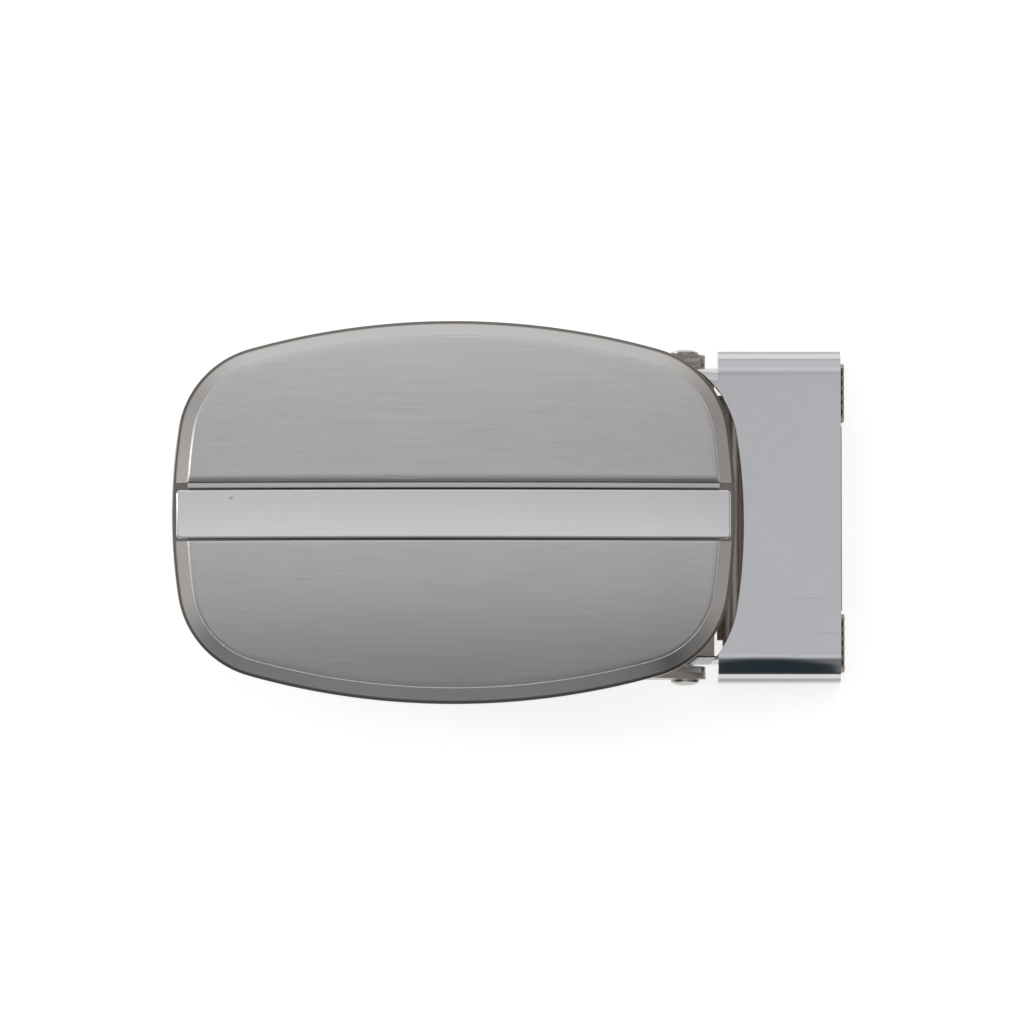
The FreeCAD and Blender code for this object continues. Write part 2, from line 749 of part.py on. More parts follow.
def pawl_spring():
    """Torsion spring round the shaft, one leg on the frame's floor and one under the pawl."""
    radius = size("spring_radius")
    turns = size("spring_turns") + size("spring_end_turn") / 360
    helix = doc.addObject("Part::Helix", "spring_helix")
    bind(helix, "Radius", radius)
    bind(helix, "Pitch", size("spring_pitch"))
    bind(helix, "Height", size("spring_pitch") * turns)
    wire = doc.addObject("Part::Circle", "spring_section")
    bind(wire, "Radius", size("spring_wire"))
    wire.Placement.Rotation = FreeCAD.Rotation(FreeCAD.Vector(1, 0, 0), 90)
    bind(wire, "Placement.Base.x", radius)
    coil = doc.addObject("Part::Sweep", "spring_coil")
    coil.Sections = [wire]
    coil.Spine = (helix, ["Edge1"])
    coil.Solid = True
    coil.Frenet = True
    # each leg carries straight on from one end of the coil
    start_leg = doc.addObject("Part::Cylinder", "spring_pawl_leg")
    start_leg.Placement.Rotation = FreeCAD.Rotation(FreeCAD.Vector(1, 0, 0), 90)
    bind(start_leg, "Placement.Base.x", radius)
    end_leg = doc.addObject("Part::Cylinder", "spring_floor_leg")
    end_turn = FreeCAD.Rotation(FreeCAD.Vector(0, 0, 1), SIZES["spring_end_turn"])
    end_leg.Placement.Rotation = end_turn.multiply(FreeCAD.Rotation(FreeCAD.Vector(1, 0, 0), -90))
    bind(end_leg, "Placement.Base.x", radius * cosine("spring_end_turn"))
    bind(end_leg, "Placement.Base.y", radius * sine("spring_end_turn"))
    bind(end_leg, "Placement.Base.z", size("spring_pitch") * turns)
    for leg in (start_leg, end_leg):
        bind(leg, "Radius", size("spring_wire"))
        bind(leg, "Height", size("spring_leg"))
    spring = doc.addObject("Part::MultiFuse", "pawl_spring")
    spring.Shapes = [coil, start_leg, end_leg]
    spring.Label = "pawl_spring"
    # the coil's own axis is turned onto Y, then rolled so that the legs reach the floor and the pawl
    lay_down = FreeCAD.Rotation(FreeCAD.Vector(1, 0, 0), -90)
    roll = FreeCAD.Rotation(FreeCAD.Vector(0, 1, 0), SIZES["spring_roll"])
    spring.Placement.Rotation = roll.multiply(lay_down)
    bind(spring, "Placement.Base.x", size("shaft_x"))
    bind(spring, "Placement.Base.y", size("spring_start"))
    bind(spring, "Placement.Base.z", size("shaft_z"))
    doc.recompute()
    return spring


def release_lever():
    """Thumb lever outside the lower cheek, with its pad bent outwards."""
    body = new_body("release_lever")
    inner = size("lever_inner")
    hub = new_sketch(body, "lever_hub_outline", "XZ_Plane", inner)
    draw_circle(hub, size("shaft_x"), size("shaft_z"), size("lever_hub"))
    pad(body, hub, size("lever_gauge"))
    arm = new_sketch(body, "lever_arm", "XZ_Plane", inner)
    half = size("lever_half_height")
    reach = size("lever_reach")
    root = size("lever_root_half_height")
    corners = [(0, -root), (reach, -half), (reach, half), (0, root)]
    draw(arm, [along_arm("lever_angle", along, rise) for along, rise in corners])
    pad(body, arm, size("lever_gauge"))
    thumb = new_sketch(body, "lever_pad", "XZ_Plane", inner)
    start = reach - size("lever_pad_length")
    under = half - size("lever_pad_gauge")
    corners = [(start, under), (reach, under), (reach, half), (start, half)]
    draw(thumb, [along_arm("lever_angle", along, rise) for along, rise in corners])
    pad(body, thumb, size("lever_pad_outer") - inner)
    cross_hole(body, "lever_bore", size("shaft_x"), size("shaft_z"), size("shaft_radius"))
    return body


def lever_screw():
    """Slotted screw that keeps the lever on the shaft."""
    body = new_body("lever_screw")
    seat = size("lever_inner") + size("lever_gauge")
    head = new_sketch(body, "screw_head", "XZ_Plane", seat)
    draw_circle(head, size("shaft_x"), size("shaft_z"), size("screw_head_radius"))
    pad(body, head, size("screw_head_height"))
    shank = new_sketch(body, "screw_shank", "XZ_Plane", seat)
    draw_circle(shank, size("shaft_x"), size("shaft_z"), size("screw_radius"))
    pad(body, shank, size("screw_depth"), backwards=True)
    slot = new_sketch(body, "screw_slot", "XZ_Plane", seat + size("screw_head_height"))
    half = size("slot_width") / 2
    reach = size("screw_head_radius") + CLEAR
    x = size("shaft_x")
    z = size("shaft_z")
    draw_rectangle(slot, x - reach, x + reach, z - half, z + half)
    pocket(body, slot, size("slot_depth"))
    return body


def sleeve_section(sketch, half, bend, low_bend, closed):
    """Bent sheet seen along X: an arch with rounded shoulders, or a ring when closed."""
    gauge = size("cover_gauge")
    top = size("cover_top")
    inner = half - gauge
    inside = bend - gauge
    if not closed:
        draw(
            sketch,
            [
                (half, 0),
                (half, top - bend),
                (half - bend, top, bend, 1),
                (bend - half, top),
                (-half, top - bend, bend, 1),
                (-half, 0),
                (-inner, 0),
                (-inner, top - bend),
                (bend - half, top - gauge, inside, -1),
                (half - bend, top - gauge),
                (inner, top - bend, inside, -1),
                (inner, 0),
            ],
        )
        return
    rings = [(half, top, 0, bend, low_bend), (inner, top - gauge, gauge, inside, low_bend - gauge)]
    for reach, high, low, upper, lower in rings:
        low = as_dim(low)
        draw(
            sketch,
            [
                (reach, high - upper),
                (reach - upper, high, upper, 1),
                (upper - reach, high),
                (-reach, high - upper, upper, 1),
                (-reach, low + lower),
                (lower - reach, low, lower, 1),
                (reach - lower, low),
                (reach, low + lower, lower, 1),
            ],
        )


def clip_cover():
    """Sleeve over the strap's cut end; its neck carries the hinge and stops at an arc by the face."""
    body = new_body("clip_cover")
    wide = new_sketch(body, "cover_section", "YZ_Plane", size("cover_left"))
    sleeve_section(wide, size("cover_half_width"), size("cover_bend"), None, False)
    pad(body, wide, size("cover_right") - size("cover_left"))
    neck = new_sketch(body, "neck_section", "YZ_Plane", size("neck_left"))
    sleeve_section(neck, size("neck_half_width"), size("neck_bend"), size("neck_low_bend"), True)
    pad(body, neck, size("neck_right") - size("neck_left"))

    floor = new_sketch(body, "neck_floor_end", offset=-CLEAR)
    reach = size("neck_half_width")
    draw_rectangle(floor, size("neck_floor_right"), size("neck_right") + CLEAR, -reach, reach)
    pocket(body, floor, size("neck_low_bend") + CLEAR, backwards=True)

    arc = new_sketch(body, "arc_cut", offset=size("tab_top"))
    draw_barrel(arc, size("arc_gap"), size("arc_shift"))
    pocket(body, arc, size("cover_top") - size("tab_top") + CLEAR, backwards=True)

    hinge_hole = size("rivet_radius") + size("running_gap")
    cross_hole(body, "hinge_holes", size("pivot_x"), size("pivot_z"), hinge_hole)
    cross_hole(body, "jaw_pin_holes", size("jaw_pin_x"), size("jaw_pin_z"), size("jaw_pin_radius"))

    left = size("neck_left").number
    high = size("tab_top").number
    corners = edges_where(
        body.Tip,
        lambda box: abs(box.XMax - left) < 0.01
        and abs(box.ZMin - high) < 0.01
        and box.YLength < SIZES["tab_corner"],
    )
    round_edges(body, "tab_corners", corners, size("tab_corner"))
    return body


def clip_jaw():
    """Flap that bites the strap's cut end, hinged on a rolled barrel."""
    body = new_body("clip_jaw")
    low = size("jaw_pin_z") - size("barrel_radius")
    plate = new_sketch(body, "jaw_plate", offset=low)
    x0 = size("jaw_pin_x")
    step = size("jaw_step")
    right = size("jaw_right")
    tab = size("tab_half_width")
    notch = size("tab_notch")
    depth = size("notch_depth")
    barrel = size("barrel_half_length")
    wide = size("jaw_half_width")
    set_back = size("tab_setback")
    upper = [
        (x0, barrel),
        (step, barrel),
        (step, wide),
        (right, wide),
        (right, tab + notch),
        (right - depth, tab + notch * 0.5),
        (right - set_back, tab),
    ]
    lower = [(x, -y) for x, y in reversed(upper)]
    draw(plate, upper + lower)
    pad(body, plate, size("jaw_gauge"))

    roll = new_sketch(body, "jaw_barrel", "XZ_Plane")
    draw_circle(roll, x0, size("jaw_pin_z"), size("barrel_radius"))
    pad(body, roll, barrel * 2, both_ways=True)
    bore = size("jaw_pin_radius") + size("running_gap")
    cross_hole(body, "jaw_bore", x0, size("jaw_pin_z"), bore)

    inner = tab + notch
    pitch = (wide - inner) / TEETH_PER_ROW
    for name, side in (("low_teeth", -1), ("high_teeth", 1)):
        row = new_sketch(body, name, "YZ_Plane", right - size("lip_gauge"))
        root = low + size("tooth_root")
        path = [(inner * side, root), (wide * side, root)]
        for number in range(TEETH_PER_ROW):
            path.append(((wide - pitch * number) * side, size("lip_top")))
            path.append(((wide - pitch * (number + 0.5)) * side, size("tooth_top")))
        path.append((inner * side, size("lip_top")))
        draw(row, path)
        pad(body, row, size("lip_gauge"))
    return body


face_plate()
centre_bar()
back_frame()
frame_rivets()
clip_rivet("clip_rivet_upper", 1)
clip_rivet("clip_rivet_lower", -1)
cheek = size("cheek_outer")
turned_pin("roller_pin", size("roller_x"), size("roller_z"), None, size("pin_radius"), None, cheek)
turned_pin(
    "spreader_bar",
    size("spreader_x"),
    size("spreader_z"),
    size("spreader_radius"),
    size("pin_radius"),
    size("cheek_inner"),
    cheek,
)
strap_roller()
pawl()
pawl_shaft()
pawl_spring()
release_lever()
lever_screw()
clip_cover()
clip_jaw()
pin_reach = size("cover_half_width")
turned_pin("jaw_pin", size("jaw_pin_x"), size("jaw_pin_z"), None, size("jaw_pin_radius"), None, pin_reach)

SUB_PARTS = (
    "face_plate",
    "centre_bar",
    "back_frame",
    "frame_rivets",
    "clip_rivet_upper",
    "clip_rivet_lower",
    "roller_pin",
    "strap_roller",
    "spreader_bar",
    "pawl",
    "pawl_shaft",
    "pawl_spring",
    "release_lever",
    "lever_screw",
    "clip_cover",
    "clip_jaw",
    "jaw_pin",
)

doc.recompute()
for item in doc.Objects:
    if "Invalid" in item.State or "Error" in item.State:
        raise RuntimeError(f"{item.Name} failed: {item.State}")
os.makedirs("parts", exist_ok=True)
for label in SUB_PARTS:
    shape = doc.getObjectsByLabel(label)[0].Shape
    if shape.isNull() or not shape.isValid():
        raise RuntimeError(f"{label} has no valid shape")
    box = shape.BoundBox
    print(
        f"{label}: {len(shape.Solids)} solid(s), {shape.Volume:.2f} mm3,"
        f" x {box.XMin:.2f}..{box.XMax:.2f}, y {box.YMin:.2f}..{box.YMax:.2f},"
        f" z {box.ZMin:.2f}..{box.ZMax:.2f}"
    )
    shape.exportStep(f"parts/{label}.step")
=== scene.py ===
# %% [markdown]
# # A belt buckle with a brushed face and a polished strap clip
# The buckle's real shape is already fixed by its CAD frame: every sheet, pin and joint comes in at its
# true size. In this lesson each piece gets the finish of the real metal, the pressed sheets get the
# small rounds that a tumbler leaves on their edges, and the face is made again as a smooth, fine mesh,
# because polished metal shows every flat facet.

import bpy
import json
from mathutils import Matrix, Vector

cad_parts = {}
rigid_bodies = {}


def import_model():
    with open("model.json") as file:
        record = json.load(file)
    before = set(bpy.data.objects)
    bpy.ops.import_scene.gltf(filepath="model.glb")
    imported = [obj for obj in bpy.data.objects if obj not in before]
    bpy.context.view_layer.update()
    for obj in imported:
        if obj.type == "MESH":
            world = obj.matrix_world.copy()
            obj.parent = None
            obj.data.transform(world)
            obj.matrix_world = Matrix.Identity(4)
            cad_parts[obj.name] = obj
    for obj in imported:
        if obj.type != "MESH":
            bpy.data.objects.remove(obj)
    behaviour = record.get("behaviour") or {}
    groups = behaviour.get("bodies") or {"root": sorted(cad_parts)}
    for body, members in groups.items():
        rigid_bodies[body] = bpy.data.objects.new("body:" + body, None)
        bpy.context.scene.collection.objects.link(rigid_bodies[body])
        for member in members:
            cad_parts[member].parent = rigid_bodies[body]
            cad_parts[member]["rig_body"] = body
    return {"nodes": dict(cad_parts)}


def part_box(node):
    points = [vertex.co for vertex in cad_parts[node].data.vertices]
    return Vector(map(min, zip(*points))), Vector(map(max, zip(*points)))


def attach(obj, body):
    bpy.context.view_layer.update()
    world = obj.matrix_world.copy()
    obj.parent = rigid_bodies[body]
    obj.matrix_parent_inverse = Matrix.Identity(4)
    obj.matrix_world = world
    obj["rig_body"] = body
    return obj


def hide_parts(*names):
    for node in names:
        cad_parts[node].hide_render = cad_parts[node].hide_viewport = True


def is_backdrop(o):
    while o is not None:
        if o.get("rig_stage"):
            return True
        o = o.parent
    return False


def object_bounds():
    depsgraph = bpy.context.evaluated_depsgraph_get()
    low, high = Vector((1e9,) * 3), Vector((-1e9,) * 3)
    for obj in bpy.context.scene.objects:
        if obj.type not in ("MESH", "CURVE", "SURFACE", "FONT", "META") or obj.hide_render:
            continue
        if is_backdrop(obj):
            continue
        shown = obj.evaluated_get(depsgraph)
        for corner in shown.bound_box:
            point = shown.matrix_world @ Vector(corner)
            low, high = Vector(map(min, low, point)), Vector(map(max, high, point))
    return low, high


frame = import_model()
cad_low, cad_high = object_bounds()

# %% [markdown]
# Blender works in metres, and the buckle is about 70 mm long. All sizes below are written in
# millimetres, as on a workshop drawing, and one factor turns them into metres.

# %% Sizes in millimetres
import json
import math

import bmesh
import bpy
from mathutils import Vector

MM = 0.001
scene = bpy.context.scene


def box_mm(node):
    """The lowest and highest corner of a CAD node, in millimetres."""
    low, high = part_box(node)
    return Vector(low) / MM, Vector(high) / MM


size = (cad_high - cad_low) / MM
print(f"whole buckle: {size.x:.1f} x {size.y:.1f} x {size.z:.1f} mm")

# %% [markdown]
# ## The camera
# The buckle is seen almost straight from above, from a touch below its middle line. A long lens keeps
# the face and the lower clip at nearly the same scale, as a catalogue picture does.

# %% Camera
VIEW_WIDTH = 105.2
LENS = 300
SENSOR = 36
ELEVATION = math.radians(86.5)
AIM = Vector((0.21, 0.11, 10.0))

camera_data = bpy.data.cameras.new("camera")
camera_data.lens = LENS
camera_data.sensor_width = SENSOR
camera = bpy.data.objects.new("camera", camera_data)
scene.collection.objects.link(camera)
scene.camera = camera
distance = VIEW_WIDTH * LENS / SENSOR * MM
back = Vector((0, -math.cos(ELEVATION), math.sin(ELEVATION)))
camera.location = AIM * MM + back * distance
camera.rotation_mode = "QUATERNION"
camera.rotation_quaternion = (-back).to_track_quat("-Z", "Y")
camera_data.clip_start = distance * 0.1
camera_data.clip_end = distance * 20
print(f"camera {distance:.2f} m away, {math.degrees(ELEVATION):.1f} degrees above the table")

# %% [markdown]
# ## Node helpers
# Every shader below is a small graph of nodes. Five helpers keep the graphs readable: one adds a node
# and links it, and the others add a colour ramp, a piece of arithmetic, noise, and a step between two
# values.

# %% Node helpers
def wire(tree, kind, inputs=None, **settings):
    """Adds a node, sets its properties, then fills or links its inputs by name or number."""
    node = tree.nodes.new(kind)
    for name, value in settings.items():
        setattr(node, name, value)
    for name, value in (inputs or {}).items():
        if isinstance(value, bpy.types.NodeSocket):
            tree.links.new(value, node.inputs[name])
        else:
            node.inputs[name].default_value = value
    return node


def ramp(tree, source, stops):
    """A colour ramp through (position, grey or colour) stops; gives its Color output."""
    node = tree.nodes.new("ShaderNodeValToRGB")
    tree.links.new(source, node.inputs["Fac"])
    points = node.color_ramp.elements
    while len(points) < len(stops):
        points.new(0.5)
    for point, (place, tone) in zip(points, stops):
        point.position = place
        colour = tone if isinstance(tone, tuple) else (tone, tone, tone)
        point.color = (*colour, 1)
    return node.outputs["Color"]


def maths(tree, operation, *values):
    """A Math node on two or three numbers or sockets; gives its output."""
    inputs = dict(enumerate(values))
    return wire(tree, "ShaderNodeMath", inputs, operation=operation).outputs[0]


def noise(tree, point, scale, detail):
    """Soft noise from 0 to 1; gives its output."""
    inputs = {"Vector": point, "Scale": scale, "Detail": detail}
    return wire(tree, "ShaderNodeTexNoise", inputs).outputs["Fac"]


def between(tree, value, start, stop):
    """Goes from 0 to 1 as the value goes from start to stop; gives its output."""
    inputs = {"Value": value, "From Min": start, "From Max": stop}
    return wire(tree, "ShaderNodeMapRange", inputs).outputs["Result"]


# %% [markdown]
# ## The room that the metal sees
# Polished metal has hardly a colour of its own. What the eye reads as its tone is the room in it, so
# the room is drawn first. A panorama of a real studio would do, but a few ramps are easier to steer.
# The main one gives a tone to every lean of a ray: bright overhead and on the far side, and dark on the
# near side, which shades the lower half of the crowned face.

# %% World
# (degrees that a ray leans to the far side, tone)
ROOM_TONES = [
    (-90, 0.24),
    (-45, 0.30),
    (-30, 0.28),
    (-21, 0.20),
    (-13, 0.56),
    (-6, 0.84),
    (-1, 0.75),
    (3.5, 0.70),
    (8, 0.66),
    (14, 0.60),
    (22, 0.63),
    (30, 0.84),
    (38, 0.93),
    (48, 0.80),
    (62, 0.80),
    (90, 0.85),
]
ROOM_COOLNESS = 1.012

scene.view_settings.view_transform = "Standard"
scene.view_settings.look = "None"
world = bpy.data.worlds.new("studio")
scene.world = world
world.use_nodes = True
room = world.node_tree
room.nodes.clear()
ray = wire(room, "ShaderNodeTexCoord").outputs["Generated"]
to_side, to_far, to_top = wire(room, "ShaderNodeSeparateXYZ", {"Vector": ray}).outputs


def lean_stop(degrees, tone):
    """A ramp stop for rays that lean this far to the far side (+) or the near side (-)."""
    return (1 + math.sin(math.radians(degrees))) / 2, (tone, tone, tone * ROOM_COOLNESS)


tones = ramp(room, between(room, to_far, -1.0, 1.0), [lean_stop(*stop) for stop in ROOM_TONES])
print(len(ROOM_TONES), "tones from the near side to the far side")

# %% [markdown]
# Two more ramps finish the room. The side walls are browner and darker than the ceiling, the right one
# more so. A dark skirting runs round just above the table and gives round edges an outline. The far
# wall has none, and stays bright down to the floor.

# %% Walls
# (place from the left wall at 0 to the right wall at 1, tint)
SIDE_TINTS = [
    (0.0, (0.80, 0.78, 0.76)),
    (0.22, (0.70, 0.68, 0.66)),
    (0.40, (1.03, 1.03, 1.03)),
    (0.58, (0.97, 0.97, 0.97)),
    (0.76, (0.61, 0.58, 0.55)),
    (1.0, (0.52, 0.50, 0.48)),
]
SKIRTING = [(0.0, 0.35), (0.12, 0.45), (0.24, 1.0)]
FAR_WALL = 0.85

side = ramp(room, maths(room, "MULTIPLY_ADD", to_side, 0.5, 0.5), SIDE_TINTS)
tinted = wire(room, "ShaderNodeVectorMath", {0: tones, 1: side}, operation="MULTIPLY")
skirting = ramp(room, to_top, SKIRTING)
strength = maths(room, "MAXIMUM", skirting, maths(room, "MULTIPLY", to_far, FAR_WALL))
walls = {"Color": tinted.outputs["Vector"], "Strength": strength}
background = wire(room, "ShaderNodeBackground", walls)
wire(room, "ShaderNodeOutputWorld", {"Surface": background.outputs["Background"]})
print("the room is set:", len(room.nodes), "nodes")

# %% [markdown]
# One long soft lamp lies low on the left. It is what the rounded edges catch as thin bright lines,
# while the flat and gently curved faces look past it.

# %% Soft lamp
LAMP_SIZE = (0.12, 0.60)
LAMP_PLACE = Vector((-0.70, 0.12, 0.26))
LAMP_WATTS = 1.1

lamp_data = bpy.data.lights.new("soft_lamp", "AREA")
lamp_data.shape = "RECTANGLE"
lamp_data.size, lamp_data.size_y = LAMP_SIZE
lamp_data.energy = LAMP_WATTS
lamp = bpy.data.objects.new("soft_lamp", lamp_data)
lamp.location = LAMP_PLACE
lamp.rotation_euler = LAMP_PLACE.to_track_quat("Z", "Y").to_euler()
scene.collection.objects.link(lamp)
print("lamp", round(LAMP_PLACE.length, 2), "m from the buckle")

# %% [markdown]
# A black card held beside a polished bend draws a dark line in it. A flat card would do, but its edge
# would show as a hard step. This one is a sheet of dark gauze curved round the clip's lower bend,
# dense in its middle and thin at its edges, so that the line swells and fades. The camera itself
# doesn't see it.

# %% Card sheet
CARD_X = (21.5, 35.5)
CARD_TURN = (-2.0, -86.0)
CARD_REACH = 45.0
CARD_COLUMNS = 14
CARD_ROWS = 24
DENSEST = 0.45
END_FADE = 5.2
UPPER_FADE = 4.5
LOWER_FADE = 5.0
LOWER_EDGE = 0.55


def gauze_share(u, v):
    """How dense the gauze is, with u along the clip and v from the upper edge to the lower one."""
    upper = UPPER_FADE * v - END_FADE * (u - DENSEST) ** 2
    return max(0.0, min(1.0, upper)) * min(1.0, LOWER_FADE * (1 - v) + LOWER_EDGE)


clip_low, clip_high = box_mm("clip_cover")
card_points, shares, panels = [], [], []
for i in range(CARD_COLUMNS + 1):
    u = i / CARD_COLUMNS
    x = CARD_X[0] + (CARD_X[1] - CARD_X[0]) * u
    for j in range(CARD_ROWS + 1):
        v = j / CARD_ROWS
        turn = math.radians(CARD_TURN[0] + (CARD_TURN[1] - CARD_TURN[0]) * v)
        y = clip_low.y + CARD_REACH * math.sin(turn)
        z = clip_high.z + CARD_REACH * math.cos(turn)
        card_points.append(Vector((x, y, z)) * MM)
        shares.append(gauze_share(u, v))
for i in range(CARD_COLUMNS):
    for j in range(CARD_ROWS):
        k = i * (CARD_ROWS + 1) + j
        panels.append((k, k + 1, k + CARD_ROWS + 2, k + CARD_ROWS + 1))
card_mesh = bpy.data.meshes.new("black_card")
card_mesh.from_pydata(card_points, [], panels)
density = card_mesh.attributes.new("gauze_share", "FLOAT", "POINT")
density.data.foreach_set("value", shares)
print("card of", len(panels), "panels")

# %% [markdown]
# The density is kept at the mesh's points, as an attribute, and the gauze's shader reads it to mix
# clear air with threads of one dark tone.

# %% Gauze
THREADS = (0.030, 0.042, 0.050, 1)

gauze = bpy.data.materials.new("black_gauze")
gauze.use_nodes = True
tree = gauze.node_tree
tree.nodes.clear()
thick = wire(tree, "ShaderNodeAttribute", attribute_name="gauze_share").outputs["Fac"]
open_air = wire(tree, "ShaderNodeBsdfTransparent").outputs[0]
threads = wire(tree, "ShaderNodeEmission", {"Color": THREADS, "Strength": 1.0}).outputs[0]
weave = wire(tree, "ShaderNodeMixShader", {0: thick, 1: open_air, 2: threads})
wire(tree, "ShaderNodeOutputMaterial", {"Surface": weave.outputs[0]})
card_mesh.materials.append(gauze)
card = bpy.data.objects.new("black_card", card_mesh)
scene.collection.objects.link(card)
card.visible_camera = False
card.visible_shadow = False
card.visible_diffuse = False
card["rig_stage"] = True
print("gauze:", len(tree.nodes), "nodes")

# %% [markdown]
# ## The table
# A plain pale board that glows a little, like a light table, so that the buckle throws hardly a
# shadow. Its lower side is clear, so that the buckle can also be looked at from underneath.

# %% Table
TABLE_HALF = 1.5
TABLE_DROP = 0.02
TABLE_GLOW = 0.70
TABLE_TINTS = [(0.3, 0.80), (0.7, 0.82)]

height = cad_low.z - TABLE_DROP * MM
corners = [(-1, -1), (1, -1), (1, 1), (-1, 1)]
corners = [(x * TABLE_HALF, y * TABLE_HALF, height) for x, y in corners]
board = bpy.data.meshes.new("table")
board.from_pydata(corners, [], [(0, 1, 2, 3)])
table = bpy.data.objects.new("table", board)
scene.collection.objects.link(table)

paper = bpy.data.materials.new("pale_board")
paper.use_nodes = True
tree = paper.node_tree
tree.nodes.clear()
at = wire(tree, "ShaderNodeTexCoord").outputs["Object"]
tint = ramp(tree, noise(tree, at, 900.0, 3.0), TABLE_TINTS)
top_side = wire(tree, "ShaderNodeBsdfPrincipled", {"Base Color": tint, "Roughness": 0.9})
top_side.inputs["Emission Color"].default_value = (1, 1, 1, 1)
top_side.inputs["Emission Strength"].default_value = TABLE_GLOW
clear = wire(tree, "ShaderNodeBsdfTransparent")
seen_from = wire(tree, "ShaderNodeNewGeometry").outputs["Backfacing"]
sides = {0: seen_from, 1: top_side.outputs[0], 2: clear.outputs[0]}
choice = wire(tree, "ShaderNodeMixShader", sides)
wire(tree, "ShaderNodeOutputMaterial", {"Surface": choice.outputs[0]})
board.materials.append(paper)
table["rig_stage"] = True
print("table", TABLE_HALF * 2, "m wide")

# %% [markdown]
# ## Three effects for metal
# The pieces differ in polish, but the same three things happen to all of them. Brushing leaves fine
# parallel lines. Handling leaves faint smudges, a few hair scratches and tiny pits. Outer edges are
# brightened, partly as rubbing wear and partly as a painted highlight, and inner corners are darkened.
# Each effect is one node group with its own sizes, and a material picks how much of each it wants.

# %% Group maker
def new_group(name, inputs, outputs):
    """An empty shader group; inputs are name: default, and outputs are names of numbers."""
    group = bpy.data.node_groups.new(name, "ShaderNodeTree")
    for label, default in inputs.items():
        kind = "NodeSocketVector" if default is None else "NodeSocketFloat"
        socket = group.interface.new_socket(label, in_out="INPUT", socket_type=kind)
        if default is not None:
            socket.default_value = default
    for label in outputs:
        group.interface.new_socket(label, in_out="OUTPUT", socket_type="NodeSocketFloat")
    return group, wire(group, "NodeGroupInput").outputs, wire(group, "NodeGroupOutput").inputs


def stretch(tree, point, scale):
    """The point with each of its axes scaled, which draws a pattern out along the smallest one."""
    return wire(tree, "ShaderNodeMapping", {"Vector": point, "Scale": scale}).outputs["Vector"]


# %% [markdown]
# Brush lines are noise that has been drawn out: hardly any change along the stroke, and a fast change
# across it. Two sizes are mixed, long faint strokes and shorter, finer ones, so that no line runs the
# whole length of the face.

# %% Brush lines
FINE_STROKES = (130, 8000, 8000)
COARSE_STROKES = (45, 3000, 3000)
FINE_SHARE = 0.6

brush_group, given, wanted = new_group("brush_lines", {"Point": None, "Fineness": 1.0}, ["Lines"])
fine, coarse = [
    noise(brush_group, stretch(brush_group, given["Point"], strokes), given["Fineness"], 2.0)
    for strokes in (FINE_STROKES, COARSE_STROKES)
]
fine_part = maths(brush_group, "MULTIPLY", fine, FINE_SHARE)
both = maths(brush_group, "MULTIPLY_ADD", coarse, 1 - FINE_SHARE, fine_part)
brush_group.links.new(both, wanted["Lines"])
print("brush lines:", len(brush_group.nodes), "nodes")

# %% [markdown]
# Handling marks come in three kinds. Smudges are wide and soft. Scratches are the rare crests of a
# stretched, warped noise. Pits are the middles of a few cells of a Voronoi pattern, picked by the
# cell's own random colour.

# %% Handling marks
SMUDGES = 110.0
SCRATCHES = (120, 1500, 1500)
CREST = (0.76, 0.79)
PIT_CELLS = 420.0
PIT_RADIUS = (0.11, 0.05)

marks_group, given, wanted = new_group(
    "handling_marks", {"Point": None, "Pit Share": 0.03}, ["Smudge", "Scratch", "Pit"]
)
point = given["Point"]
marks_group.links.new(noise(marks_group, point, SMUDGES, 3.0), wanted["Smudge"])
thin = noise(marks_group, stretch(marks_group, point, SCRATCHES), 1.0, 1.0)
marks_group.links.new(between(marks_group, thin, *CREST), wanted["Scratch"])
cells = wire(marks_group, "ShaderNodeTexVoronoi", {"Vector": point, "Scale": PIT_CELLS})
near = between(marks_group, cells.outputs["Distance"], *PIT_RADIUS)
cell_colour = wire(marks_group, "ShaderNodeSeparateColor", {"Color": cells.outputs["Color"]})
picked = maths(marks_group, "LESS_THAN", cell_colour.outputs[0], given["Pit Share"])
marks_group.links.new(maths(marks_group, "MULTIPLY", near, picked), wanted["Pit"])
print("handling marks:", len(marks_group.nodes), "nodes")

# %% [markdown]
# Cycles knows how sharply a surface turns at each vertex, and calls it Pointiness: above one half on
# outer edges, below it in inner corners. Broken up with noise, it brightens outer edges, partly as
# rubbing wear and partly as a painted highlight, and darkens inner corners.

# %% Worn and highlit edges
PATCHES = 700.0
PATCHINESS = 0.04
SHARPNESS = {"Edge": (0.54, 0.60), "Corner": (0.49, 0.42)}

edge_group, given, wanted = new_group("rubbed_and_highlit_edges", {"Point": None}, list(SHARPNESS))
sharp = wire(edge_group, "ShaderNodeNewGeometry").outputs["Pointiness"]
patchy = noise(edge_group, given["Point"], PATCHES, 2.0)
spread = maths(edge_group, "MULTIPLY_ADD", patchy, PATCHINESS, sharp)
for name, limits in SHARPNESS.items():
    edge_group.links.new(between(edge_group, spread, *limits), wanted[name])
print("rubbed edges:", len(edge_group.nodes), "nodes")

# %% [markdown]
# ## One recipe for every metal
# A plated metal is a tone, a roughness and the three effects in some strength. Each finish could be
# drawn by hand, but one recipe keeps them alike. The depths are in millimetres: real brushing is a few
# thousandths deep, and a pit about two hundredths. The other numbers are shares: how much darker the
# darkened corners and pits make the tone, say, or how much rougher a scratch is than the polish round
# it.

# %% Metal recipe
BRUSH_DEPTH = 0.008
SCRATCH_DEPTH = 0.0064
PIT_DEPTH = 0.02
DARK_LINES = 0.40
LIGHT_LINES = 0.35
DARKENED_TONE = 0.55
RUBBED_AND_HIGHLIT_TONE = 1.3
CORNER_DARKENING = 0.7
PIT_GRIME = 0.75
SMUDGE_DULLS = 0.10
BRUSH_DULLS = 0.12
SCRATCH_DULLS = 0.15


